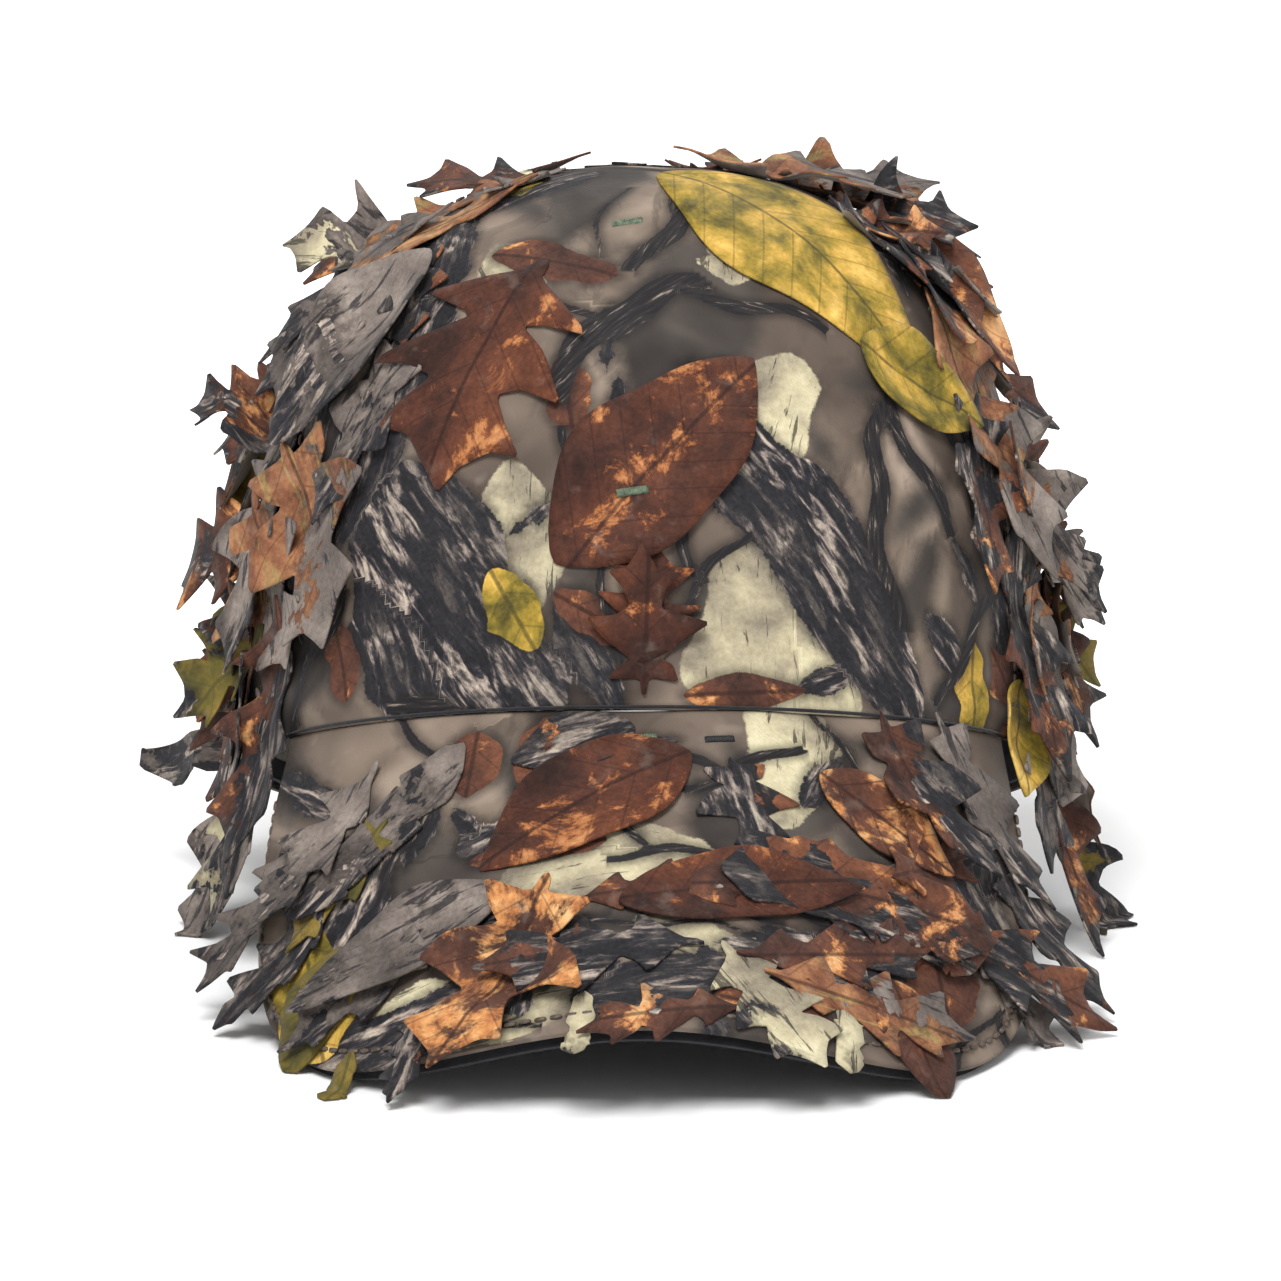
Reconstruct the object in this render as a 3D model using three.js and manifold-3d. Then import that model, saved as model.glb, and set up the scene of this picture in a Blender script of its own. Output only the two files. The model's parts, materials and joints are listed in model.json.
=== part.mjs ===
// A peaked camouflage cap with cloth leaves sewn all over it: a five-panel crown, a stiffened peak, a
// sweatband, a hook-and-loop closure at the back, and leaves tacked to the crown and the peak.
//
// The pieces are made in the cap's own frame, in millimetres: the rim lies in the plane z = 0, its centre
// is the origin, the peak points to -Y and the crown rises along +Z. The finished cap is then tipped back
// until it stands as it does on a table, on the two corners of its peak and the back of its rim.
import * as THREE from "three";
import { mergeVertices } from "three/addons/utils/BufferGeometryUtils.js";
import Module from "manifold-3d";

const wasm = await Module();
wasm.setup();

const DEG = Math.PI / 180;

// Crown, measured on the outside of the cloth.
const RIM_HALF_WIDTH = 89;
const RIM_HALF_LENGTH = 98;
const CROWN_DEPTH = 132;
const PLAN_POWER = 2.15; // 2 is an ellipse, more is squarer
const DOME_POWER = 2.7;
const CLOTH = 1.2;
const GAP = 0.3; // between two sewn pieces
const SLACK = 0.7; // between two curved pieces that lie on each other, whose facets don't line up

// Panels, by the direction of their two seams in degrees and their number of facets. -90 is the front.
const PANEL_SEAMS = {
  front_panel: [-150, -30, 16],
  right_side_panel: [-30, 30, 8],
  right_back_panel: [30, 90, 12],
  left_back_panel: [90, 150, 12],
  left_side_panel: [150, 210, 8],
};
const PANEL_ROWS = 14;

// Linings and bands inside the crown.
const BACKING = 0.8; // stiff lining behind the front panel
const BACKING_INSET = 7 * DEG;
const BACKING_TOP = 76 * DEG;
const TAPE_WIDTH = 12;
const TAPE_CLOTH = 0.8;
const TAPE_TOP = 84 * DEG;
const TAPE_TAPER = 0.28; // the tapes' width at the top, as a share of their width at the rim
const BAND_HEIGHT = 30;
const BAND_CLOTH = 1.4;
const BAND_RAISE = 1; // the band's lower edge above the rim
const LABEL_WIDTH = 26;
const LABEL_HEIGHT = 18;
const LABEL_CLOTH = 0.5;
const LABEL_AT = 165 * DEG;

// Button on top.
const BUTTON_RADIUS = 9;
const BUTTON_OVERLAP = 1.5; // how far the button reaches over the panels all round
const BUTTON_HEIGHT = 4.5;
const RIVET_RADIUS = 2.4;
const RIVET_HEAD_RADIUS = 10.5;
const RIVET_HEAD = 1.2;
const PANEL_TOP = Math.atan2(CROWN_DEPTH, BUTTON_RADIUS - BUTTON_OVERLAP); // as an angle above the rim plane

// Peak. Its seam runs round the front of the rim, and its edge is a curve from each end of the seam to the
// front.
const SEAM_HALF_ANGLE = 53 * DEG; // from the front round to each end of the seam
const PEAK_REACH = 51; // how far its front lies ahead of the crown
const PEAK_DROP = 68; // how far its front lies below the rim
const PEAK_FLARE = 17; // the sideways pull on its edge beyond the ends of the seam, which sets its width
const CORNER_DROP = 105; // the downward pull on its edge, which sets how low its corners hang
const FRONT_SPREAD = 50; // how broad the front of its edge is
const PEAK_END = 4; // its length at the two ends of the seam
const PEAK_CLOTH = 1;
const PEAK_BOARD = 1.8;
const BOARD_INSET = 0.035; // how far the board stays inside the covers, as a share of the peak's length
const PEAK_COLUMNS = 24;
const NORMAL_REACH = 0.94; // beyond this share of the seam the layers of the peak keep one direction

// Closure at the back.
const OPENING_HALF = 30 * DEG;
const OPENING_RISE = 27 * DEG;
const BINDING_WIDTH = 6;
const LOOP_STRAP_BOTTOM = 2; // its lower and upper edges above the rim
const LOOP_STRAP_TOP = 24;
const HOOK_STRAP_BOTTOM = 5;
const HOOK_STRAP_TOP = 23;
const STRAP_CLOTH = 1.2;
const STRAP_FACETS = 14;
const PATCH = 0.7; // thickness of the hook and the loop tape
const PATCH_INSET = 2;
const STRAP_SEWN = 10 * DEG; // how far each strap reaches onto the back panel that it is sewn to
const LOOP_STRAP_TO = 102 * DEG;
const HOOK_STRAP_TO = 70 * DEG;

// Leaves.
const LEAF_CLOTH = 0.6;
const LEAF_ROWS = 9;
const LEAF_COLUMNS = 3;
const LEAF_END = 1.2; // half width left at a leaf's two ends
const LEAF_LIFT = 0.68; // under a leaf where it is tacked
const LAYER_STEP = 1.5; // between a leaf and the next one over it
const TACKED_LENGTH = 12; // how far from its tack a leaf has risen to its layer
const TABLE_CLEARANCE = 1;
const TABLE_TRIM = 0.5; // what is flattened off the corners that the cap stands on

// ---------------------------------------------------------------- surfaces

const clamp = (x, low, high) => Math.min(high, Math.max(low, x));
const mix = (a, b, t) => a + (b - a) * t;
const smooth = (t) => clamp(t, 0, 1) ** 2 * (3 - 2 * clamp(t, 0, 1));
const vector = (x, y, z) => new THREE.Vector3(x, y, z);

// The distance from the rim's centre to the outside of the crown, in a direction.
function crownRadius(theta, phi) {
  const plan =
    Math.abs((Math.cos(phi) * Math.cos(theta)) / RIM_HALF_WIDTH) ** PLAN_POWER +
    Math.abs((Math.cos(phi) * Math.sin(theta)) / RIM_HALF_LENGTH) ** PLAN_POWER;
  const rise = Math.abs(Math.sin(phi) / CROWN_DEPTH) ** DOME_POWER;
  return (plan ** (DOME_POWER / PLAN_POWER) + rise) ** (-1 / DOME_POWER);
}

// A point on the crown, pushed out by some millimetres. Below the rim the surface goes straight down.
function onCrown(theta, phi, out = 0) {
  const level = Math.max(phi, 0);
  const r = crownRadius(theta, level) + out;
  const height = phi < 0 ? r * Math.tan(phi) : r * Math.sin(level);
  return vector(r * Math.cos(level) * Math.cos(theta), r * Math.cos(level) * Math.sin(theta), height);
}

const angleAtHeight = (theta, z) => Math.atan2(z, crownRadius(theta, 0));

// The lower edge of the crown, arched over the opening at the back.
function lowerEdge(theta) {
  const fromBack = Math.abs(theta - Math.PI / 2) / OPENING_HALF;
  return fromBack < 1 ? OPENING_RISE * Math.sqrt(1 - fromBack ** 2) : 0;
}

const seamEnd = onCrown(-Math.PI / 2 + SEAM_HALF_ANGLE, 0);
const peakFront = -RIM_HALF_LENGTH - PEAK_REACH;
const peakEdgeHalf = new THREE.CubicBezierCurve3(
  vector(0, peakFront, -PEAK_DROP),
  vector(FRONT_SPREAD, peakFront, -PEAK_DROP),
  vector(seamEnd.x + PEAK_FLARE, peakFront + PEAK_REACH, -CORNER_DROP),
  seamEnd.clone().addScaledVector(vector(0, -0.6, -0.8), PEAK_END),
);

// A point on top of the peak: s from -1 to 1 across it, v from 0 at the seam to 1 at the edge, and on
// beyond.
function peakTop(s, v) {
  const seam = onCrown(-Math.PI / 2 + s * SEAM_HALF_ANGLE, 0);
  const edge = peakEdgeHalf.getPoint(Math.abs(s));
  if (s < 0) edge.x = -edge.x;
  return seam.lerp(edge, v).add(vector(0, 0, -GAP));
}

function peakNormal(s, v) {
  const step = 0.004;
  const side = clamp(s, -NORMAL_REACH, NORMAL_REACH);
  const across = peakTop(side + step, v).sub(peakTop(side - step, v));
  const up = peakTop(side, 0).sub(peakTop(side, 1));
  return across.cross(up).normalize();
}

const onPeak = (s, v, out) => peakTop(s, v).addScaledVector(peakNormal(s, v), out);

// The place on the peak that lies x millimetres to the right of its middle and some way down from its seam.
function peakPlace(x, down) {
  let low = -1;
  let high = 1;
  for (let i = 0; i < 30; i++) {
    const s = (low + high) / 2;
    const v = down / peakTop(s, 0).distanceTo(peakTop(s, 1));
    if (peakTop(s, v).x < x) low = s;
    else high = s;
  }
  const s = clamp((low + high) / 2, -0.93, 0.93);
  return [s, down / peakTop(s, 0).distanceTo(peakTop(s, 1))];
}

// ---------------------------------------------------------------- solids

// A closed slab between two sheets, each given as a point for u and v from 0 to 1. Seen from outside, u
// runs to the right and v upwards.
function slab(columns, rows, outer, inner) {
  const positions = [];
  const triangles = [];
  for (const sheet of [outer, inner])
    for (let j = 0; j <= rows; j++)
      for (let i = 0; i <= columns; i++) positions.push(...sheet(i / columns, j / rows).toArray());
  const at = (side, i, j) => (side * (rows + 1) + j) * (columns + 1) + i;
  const quad = (a, b, c, d) => triangles.push(a, b, c, a, c, d);
  for (let j = 0; j < rows; j++)
    for (let i = 0; i < columns; i++) {
      quad(at(0, i, j), at(0, i + 1, j), at(0, i + 1, j + 1), at(0, i, j + 1));
      quad(at(1, i, j), at(1, i, j + 1), at(1, i + 1, j + 1), at(1, i + 1, j));
    }
  for (let i = 0; i < columns; i++) {
    quad(at(0, i, 0), at(1, i, 0), at(1, i + 1, 0), at(0, i + 1, 0));
    quad(at(0, i, rows), at(0, i + 1, rows), at(1, i + 1, rows), at(1, i, rows));
  }
  for (let j = 0; j < rows; j++) {
    quad(at(0, 0, j), at(0, 0, j + 1), at(1, 0, j + 1), at(1, 0, j));
    quad(at(0, columns, j), at(1, columns, j), at(1, columns, j + 1), at(0, columns, j + 1));
  }
  const geometry = new THREE.BufferGeometry();
  geometry.setAttribute("position", new THREE.Float32BufferAttribute(positions, 3));
  geometry.setIndex(triangles);
  geometry.computeVertexNormals();
  return geometry;
}

const COLORS = {
  print: 0x6b5f55,
  lining: 0x1c1c1d,
  band: 0x26262a,
  tape: 0x2b2b2b,
  board: 0xd8d8d2,
  metal: 0x8e8e90,
  brown: 0x6e4430,
  grey: 0x77706a,
  bark: 0x35343a,
  cream: 0xb9b293,
  olive: 0x857a2c,
};
const SMOOTH_COLORS = { board: [0.5, 0], metal: [0.35, 0.9] }; // roughness and metalness of what isn't cloth
const cap = new THREE.Group();

function add(name, geometry, color) {
  const [roughness, metalness] = SMOOTH_COLORS[color] ?? [0.85, 0];
  const material = new THREE.MeshStandardMaterial({ color: COLORS[color], roughness, metalness });
  const mesh = new THREE.Mesh(geometry, material);
  mesh.name = name;
  cap.add(mesh);
  return mesh;
}

// ---------------------------------------------------------------- crown

for (const [name, [from, to, facets]] of Object.entries(PANEL_SEAMS)) {
  const face = (out) => (u, v) => {
    const plain = mix(from, to, u) * DEG;
    const phi = mix(lowerEdge(plain), PANEL_TOP, v);
    const inset = GAP / 2 / (crownRadius(plain, phi) * Math.cos(phi));
    const theta = clamp(plain, from * DEG + inset, to * DEG - inset);
    return onCrown(theta, phi, out);
  };
  add(name, slab(facets, PANEL_ROWS, face(0), face(-CLOTH)), "print");
}

const liningOut = -CLOTH - SLACK;
const aboveBand = BAND_HEIGHT + GAP;
const [frontFrom, frontTo] = PANEL_SEAMS.front_panel;
const backingFace = (out) => (u, v) => {
  const theta = mix(frontFrom * DEG + BACKING_INSET, frontTo * DEG - BACKING_INSET, u);
  return onCrown(theta, mix(angleAtHeight(theta, aboveBand), BACKING_TOP, v), out);
};
add("front_backing", slab(14, 10, backingFace(liningOut), backingFace(liningOut - BACKING)), "lining");

// One tape covers the inside of each seam, from the sweatband up to the button.
const SEAMS = { right_temple: -30, right_side: 30, back: 90, left_side: 150, left_temple: 210 };
for (const [place, degrees] of Object.entries(SEAMS)) {
  const seam = degrees * DEG;
  const overOpening = OPENING_RISE + (BINDING_WIDTH + GAP * 2) / RIM_HALF_LENGTH;
  const start = degrees === 90 ? overOpening : angleAtHeight(seam, aboveBand);
  const face = (out) => (u, v) => {
    const phi = mix(start, TAPE_TOP, v);
    const width = TAPE_WIDTH * mix(1, TAPE_TAPER, smooth(v * 2 - 1));
    return onCrown(seam + ((u - 0.5) * width) / (crownRadius(seam, phi) * Math.cos(phi)), phi, out);
  };
  add(`seam_tape_${place}`, slab(2, 12, face(liningOut), face(liningOut - TAPE_CLOTH)), "tape");
}

// The sweatband runs round the rim and stops at the opening.
const bandFace = (out) => (u, v) => {
  const theta = mix(Math.PI / 2 + OPENING_HALF, Math.PI * 2.5 - OPENING_HALF, u);
  return onCrown(theta, angleAtHeight(theta, mix(BAND_RAISE, BAND_HEIGHT, v)), out);
};
add("sweatband", slab(42, 2, bandFace(liningOut), bandFace(liningOut - BAND_CLOTH)), "band");

// A blank cloth label stands on the sweatband.
const labelOut = liningOut - BAND_CLOTH - GAP;
const labelFace = (out) => (u, v) => {
  const theta = LABEL_AT + ((u - 0.5) * LABEL_WIDTH) / RIM_HALF_WIDTH;
  const bottom = (BAND_HEIGHT - LABEL_HEIGHT) / 2;
  return onCrown(theta, angleAtHeight(theta, bottom + v * LABEL_HEIGHT), out);
};
add("care_label", slab(3, 1, labelFace(labelOut), labelFace(labelOut - LABEL_CLOTH)), "cream");

// The button's cover is domed, and the rivet that holds it comes up through the hole where the panels meet.
const turned = (profile, steps) =>
  new THREE.LatheGeometry(
    profile.map(([r, z]) => new THREE.Vector2(r, z)),
    steps,
  ).rotateX(Math.PI / 2);
const topHeight = onCrown(0, PANEL_TOP).z;
const buttonFoot = topHeight + GAP * 2;
const holeDepth = BUTTON_HEIGHT * 0.3;
const buttonProfile = [
  [0, holeDepth],
  [RIVET_RADIUS + GAP, holeDepth],
  [RIVET_RADIUS + GAP, 0],
  [BUTTON_RADIUS * 0.8, 0],
  [BUTTON_RADIUS, BUTTON_HEIGHT * 0.25],
  [BUTTON_RADIUS * 0.93, BUTTON_HEIGHT * 0.6],
  [BUTTON_RADIUS * 0.6, BUTTON_HEIGHT * 0.9],
  [0, BUTTON_HEIGHT],
];
add("top_button", turned(buttonProfile, 20), "print").position.z = buttonFoot;

const rivetHead = -CLOTH - SLACK - TAPE_CLOTH - GAP * 2;
const rivetEnd = GAP * 2 + holeDepth - GAP;
const rivetProfile = [
  [0, rivetHead - RIVET_HEAD],
  [RIVET_HEAD_RADIUS, rivetHead - RIVET_HEAD],
  [RIVET_HEAD_RADIUS, rivetHead],
  [RIVET_RADIUS, rivetHead],
  [RIVET_RADIUS, rivetEnd],
  [0, rivetEnd],
];
add("button_rivet", turned(rivetProfile, 16), "metal").position.z = topHeight;

// ---------------------------------------------------------------- peak

// One layer of the peak, from its depth under the top to its depth plus its thickness. It stops some
// columns short of the ends of the seam, and some way short of the seam and the edge.
function peakLayer(depth, thickness, skipped, inset) {
  const reach = 1 - (2 * skipped) / PEAK_COLUMNS;
  const face = (out) => (u, v) => onPeak(mix(-reach, reach, u), mix(1 - inset, inset, v), out);
  return slab(PEAK_COLUMNS - 2 * skipped, 4, face(-depth), face(-depth - thickness));
}

const boardDepth = PEAK_CLOTH + GAP;
const underDepth = boardDepth + PEAK_BOARD + GAP;
add("peak_top_cover", peakLayer(0, PEAK_CLOTH, 0, 0), "print");
add("peak_board", peakLayer(boardDepth, PEAK_BOARD, 1, BOARD_INSET), "board");
add("peak_under_cover", peakLayer(underDepth, PEAK_CLOTH, 0, 0), "lining");

// ---------------------------------------------------------------- closure

// A strip of cloth binds the edge of the opening on the inside.
const bindingFace = (out) => (u, v) => {
  const turn = mix(-0.97, 0.97, u);
  const edge = OPENING_RISE * Math.sqrt(1 - turn ** 2);
  return onCrown(Math.PI / 2 + OPENING_HALF * turn, edge + (GAP + v * BINDING_WIDTH) / RIM_HALF_LENGTH, out);
};
add("opening_binding", slab(14, 1, bindingFace(liningOut), bindingFace(liningOut - TAPE_CLOTH)), "tape");

// A strap or a patch that follows the rim between two directions, at a distance from the crown's outside.
function strapPiece([from, to], [bottom, top], out, thickness) {
  const face = (extra) => (u, v) => {
    const theta = mix(from, to, u);
    return onCrown(theta, angleAtHeight(theta, mix(bottom, top, v)), out(theta) + extra);
  };
  return slab(STRAP_FACETS, 2, face(thickness), face(0));
}

const loopStrapFrom = Math.PI / 2 - OPENING_HALF - STRAP_SEWN;
const hookStrapFrom = Math.PI / 2 + OPENING_HALF + STRAP_SEWN; // where it hinges
const loopLevel = SLACK + STRAP_CLOTH + GAP;
const hookPatchLevel = loopLevel + PATCH + GAP;
const hookLevel = hookPatchLevel + PATCH + GAP;
const hookDrop = (theta) => smooth((theta - LOOP_STRAP_TO) / (Math.PI / 2 + OPENING_HALF - LOOP_STRAP_TO));
const hookStrapOut = (theta) => mix(hookLevel, SLACK, hookDrop(theta));
const patchEnds = [HOOK_STRAP_TO + 2 * DEG, LOOP_STRAP_TO - 1 * DEG];
const patchEdges = [HOOK_STRAP_BOTTOM + PATCH_INSET, HOOK_STRAP_TOP - PATCH_INSET];
const loopStrapEnds = [loopStrapFrom, LOOP_STRAP_TO];
const loopStrapEdges = [LOOP_STRAP_BOTTOM, LOOP_STRAP_TOP];
const hookStrapEnds = [HOOK_STRAP_TO, hookStrapFrom];
const hookStrapEdges = [HOOK_STRAP_BOTTOM, HOOK_STRAP_TOP];
add("loop_strap", strapPiece(loopStrapEnds, loopStrapEdges, () => SLACK, STRAP_CLOTH), "print");
add("loop_patch", strapPiece(patchEnds, patchEdges, () => loopLevel, PATCH), "lining");
add("hook_patch", strapPiece(patchEnds, patchEdges, () => hookPatchLevel, PATCH), "lining");
add("hook_strap", strapPiece(hookStrapEnds, hookStrapEdges, hookStrapOut, STRAP_CLOTH), "print");

// ---------------------------------------------------------------- how the cap stands

// How far the cap tips back for the peak's corners to reach the table together with the back, which is the
// lower edge of the loop strap or of a back panel.
const lowFront = [];
for (let i = 0; i <= 60; i++) lowFront.push(onPeak(i / 60, 1, -underDepth - PEAK_CLOTH));
const lowRear = [onCrown(Math.PI / 2 + OPENING_HALF, 0)];
for (let i = 0; i <= STRAP_FACETS; i++) {
  const theta = mix(...loopStrapEnds, i / STRAP_FACETS);
  lowRear.push(onCrown(theta, angleAtHeight(theta, LOOP_STRAP_BOTTOM), SLACK + STRAP_CLOTH));
}
const heightWhenTipped = (point, tilt) => point.z * Math.cos(tilt) - point.y * Math.sin(tilt);
const lowestOf = (points, tilt) => Math.min(...points.map((point) => heightWhenTipped(point, tilt)));
let tilt = 0;
for (let step = 0.4; step > 1e-5; step /= 2)
  if (lowestOf(lowFront, tilt + step) < lowestOf(lowRear, tilt + step)) tilt += step;
const tableLevel = lowestOf(lowRear, tilt) + TABLE_TRIM;
const tableUp = vector(0, -Math.sin(tilt), Math.cos(tilt));

// ---------------------------------------------------------------- leaves

// How wide each shape of leaf is along its length, on its two sides, as shares of its full half width.
const lobes = (s, count, depth, shift) =>
  1 - depth / 2 + (depth / 2) * Math.cos(2 * Math.PI * (count * s + shift));
const LEAF_SHAPES = {
  oval: (s) => Math.sin(Math.PI * s) ** 0.7,
  oak: (s, side) => Math.sin(Math.PI * s ** 0.85) ** 0.6 * lobes(s, 3, 0.45, side * 0.1 + 0.5),
  maple: (s, side) => Math.sin(Math.PI * s ** 1.3) ** 0.5 * lobes(s, 2, 0.5, side * 0.12 + 0.45),
  strip: (s, side) => 0.75 + 0.25 * Math.cos(2 * Math.PI * (1.5 * s + side * 0.2)),
};

// The sheet of a leaf in its own flat frame: along it from its tack, and across it.
function leafPlace(leaf, u, v) {
  const along = (v - leaf.tack) * leaf.length;
  const side = u * 2 - 1;
  const half = Math.max(LEAF_END, LEAF_SHAPES[leaf.shape](v, Math.sign(side)) * (leaf.width / 2));
  const across = -side * half;
  const c = Math.cos(leaf.turn * DEG);
  const s = Math.sin(leaf.turn * DEG);
  const distance = Math.hypot(along, across);
  const risen = smooth((distance - TACKED_LENGTH / 3) / TACKED_LENGTH);
  const lift = LEAF_LIFT + leaf.layer * LAYER_STEP * risen + leaf.curl * (distance / 30) ** 2;
  return { right: along * c - across * s, up: along * s + across * c, lift };
}

// Where that sheet lies on the crown: its tangent plane is wrapped down towards the middle of the cap.
function crownSheet(leaf) {
  const theta = leaf.at[0] * DEG;
  const phi = leaf.at[1] * DEG;
  const tack = onCrown(theta, phi);
  const right = onCrown(theta + 0.01, phi).sub(onCrown(theta - 0.01, phi)).normalize();
  const up = onCrown(theta, phi + 0.01).sub(onCrown(theta, phi - 0.01)).normalize();
  return (u, v) => {
    const place = leafPlace(leaf, u, v);
    const flat = tack.clone().addScaledVector(right, place.right).addScaledVector(up, place.up);
    const azimuth = Math.atan2(flat.y, flat.x);
    return onCrown(azimuth, Math.atan2(flat.z, Math.hypot(flat.x, flat.y)), place.lift);
  };
}

function peakSheet(leaf) {
  return (u, v) => {
    const place = leafPlace(leaf, u, v);
    const [s, down] = peakPlace(leaf.at[0] + place.right, leaf.at[1] - place.up);
    const past = leaf.at[0] + place.right - peakTop(s, down).x;
    return onPeak(s, down, place.lift).add(vector(past * 0.8, 0, -Math.abs(past) * 0.4));
  };
}

// A leaf's sheet, kept clear of the table, and given its thickness outwards.
function leafSolid(leaf) {
  const laid = leaf.on === "peak" ? peakSheet(leaf) : crownSheet(leaf);
  const inner = (u, v) => {
    const point = laid(u, v);
    const short = tableLevel + TABLE_CLEARANCE - point.dot(tableUp);
    return point.addScaledVector(tableUp, Math.max(0, short));
  };
  const step = 0.02;
  const outer = (u, v) => {
    const across = inner(Math.min(u + step, 1), v).sub(inner(Math.max(u - step, 0), v));
    const along = inner(u, Math.min(v + step, 1)).sub(inner(u, Math.max(v - step, 0)));
    return inner(u, v).addScaledVector(across.cross(along).normalize(), LEAF_CLOTH);
  };
  return slab(LEAF_COLUMNS, LEAF_ROWS, outer, inner);
}

// On the crown, at is the tack's direction and its angle above the rim, in degrees. On the peak, at is how
// far the tack lies to the right of the middle and down from the seam, in millimetres. A turn of 0 points
// the leaf's tip to the right as seen from outside, and 90 points it up. The curl is how far the leaf has
// risen 30 mm from its tack.
const leafRow = (name, on, shape, at, turn, length, width, layer, curl, color, tack = 0.4) => ({
  name,
  on,
  shape,
  at,
  turn,
  length,
  width,
  layer,
  curl,
  color,
  tack,
});
const LEAVES = [
  // The front of the crown.
  leafRow("leaf_front_oak", "crown", "oak", [-112, 42], 250, 56, 44, 0, 0, "brown"),
  leafRow("leaf_front_brown", "crown", "oval", [-90, 35], 48, 54, 26, 0, 0, "brown"),
  leafRow("leaf_front_gold", "crown", "oval", [-66, 57], 308, 66, 34, 0, 0, "olive"),
  leafRow("leaf_brow", "crown", "oak", [-90, 10], 80, 28, 22, 0, 0, "brown"),
  // The top.
  leafRow("leaf_top_oak", "crown", "maple", [-32, 72], 330, 52, 34, 0, 7, "brown", 0.3),
  leafRow("leaf_top_cream", "crown", "strip", [-150, 77], 150, 36, 16, 0, 3, "cream"),
  leafRow("leaf_top_back_right", "crown", "oak", [42, 69], 20, 46, 32, 0, 3, "grey"),
  leafRow("leaf_top_back_left", "crown", "maple", [128, 70], 130, 50, 34, 0, 6, "brown"),
  // The right side, from the front to the back.
  leafRow("leaf_right_dark", "crown", "maple", [-38, 59], 275, 30, 20, 0, 2, "bark"),
  leafRow("leaf_right_long", "crown", "oak", [-27, 41], 290, 60, 30, 0, 1, "brown"),
  leafRow("leaf_right_bark", "crown", "strip", [-22, 12], 265, 46, 24, 0, 4, "grey", 0.3),
  leafRow("leaf_right_small", "crown", "maple", [-3, 52], 300, 44, 30, 0, 7, "brown", 0.3),
  leafRow("leaf_right_hollow", "crown", "oak", [4, 14], 262, 54, 28, 0, 6, "bark", 0.25),
  leafRow("leaf_right_rear_high", "crown", "oak", [22, 48], 240, 56, 36, 0, 4, "grey"),
  leafRow("leaf_right_rear_low", "crown", "maple", [30, 17], 280, 56, 40, 0, 4, "brown"),
  leafRow("leaf_back_right_high", "crown", "maple", [62, 45], 250, 58, 40, 0, 4, "bark"),
  // The left side, from the front to the back.
  leafRow("leaf_left_long", "crown", "oak", [-138, 64], 215, 52, 26, 0, 2, "brown"),
  leafRow("leaf_left_grey", "crown", "maple", [-146, 44], 235, 46, 32, 0, 2, "grey"),
  leafRow("leaf_left_maple", "crown", "maple", [-151, 22], 300, 52, 42, 0, 3, "brown"),
  leafRow("leaf_left_out", "crown", "maple", [-178, 47], 230, 44, 30, 0, 8, "brown", 0.25),
  leafRow("leaf_left_dark", "crown", "oak", [178, 27], 250, 44, 28, 0, 7, "bark", 0.3),
  leafRow("leaf_left_strip", "crown", "strip", [178, 4], 188, 50, 15, 0, 11, "grey", 0.15),
  leafRow("leaf_left_low", "crown", "oak", [-160, -3], 262, 46, 26, 0, 5, "cream", 0.3),
  leafRow("leaf_left_rear_high", "crown", "oak", [152, 50], 300, 56, 36, 0, 4, "grey"),
  leafRow("leaf_left_rear_low", "crown", "maple", [148, 20], 290, 42, 30, 0, 3, "olive"),
  leafRow("leaf_back_left_high", "crown", "oak", [118, 48], 290, 58, 38, 0, 4, "brown"),
  // The peak.
  leafRow("leaf_peak_dark", "peak", "oval", [-8, 22], 215, 50, 26, 0, 0, "brown"),
  leafRow("leaf_peak_grey", "peak", "maple", [20, 24], 280, 28, 24, 0, 1, "bark"),
  leafRow("leaf_peak_curled", "peak", "oval", [46, 24], 320, 34, 18, 0, 4, "brown"),
  leafRow("leaf_peak_raised", "peak", "maple", [68, 16], 290, 48, 24, 0, 5, "grey"),
  leafRow("leaf_peak_bark", "peak", "strip", [46, 50], 350, 46, 20, 0, 2, "bark"),
  leafRow("leaf_peak_centre", "peak", "oak", [0, 49], 10, 38, 16, 0, 1, "brown"),
  leafRow("leaf_peak_gold", "peak", "maple", [-26, 66], 250, 44, 38, 0, 3, "brown"),
  leafRow("leaf_peak_olive", "peak", "maple", [-60, 36], 240, 34, 20, 0, 4, "olive"),
  leafRow("leaf_peak_corner", "peak", "oval", [-64, 66], 260, 30, 20, 0, 2, "olive"),
  leafRow("leaf_peak_tip", "peak", "oak", [22, 74], 300, 34, 26, 0, 2, "cream"),
  leafRow("leaf_peak_rounded", "peak", "oval", [52, 76], 280, 28, 18, 0, 1, "brown"),
];
for (const leaf of LEAVES) add(leaf.name, leafSolid(leaf), leaf.color);

// ---------------------------------------------------------------- standing on the table

// Turns a mesh's geometry from the cap's frame to the table's, and cuts off what would lie under the table.
function placeOnTable(mesh, shift) {
  mesh.updateMatrix();
  const placed = mesh.geometry.clone().applyMatrix4(mesh.matrix);
  placed.rotateX(-tilt).translate(0, shift, -tableLevel);
  mesh.position.set(0, 0, 0);
  placed.computeBoundingBox();
  mesh.geometry = placed.boundingBox.min.z < 0 ? cutAtTable(placed) : placed;
}

function solidOf(geometry) {
  const plain = geometry.clone();
  plain.deleteAttribute("normal");
  plain.deleteAttribute("uv");
  const merged = mergeVertices(plain, 1e-4);
  const vertProperties = merged.attributes.position.array;
  return new wasm.Manifold(new wasm.Mesh({ numProp: 3, vertProperties, triVerts: merged.index.array }));
}

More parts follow.
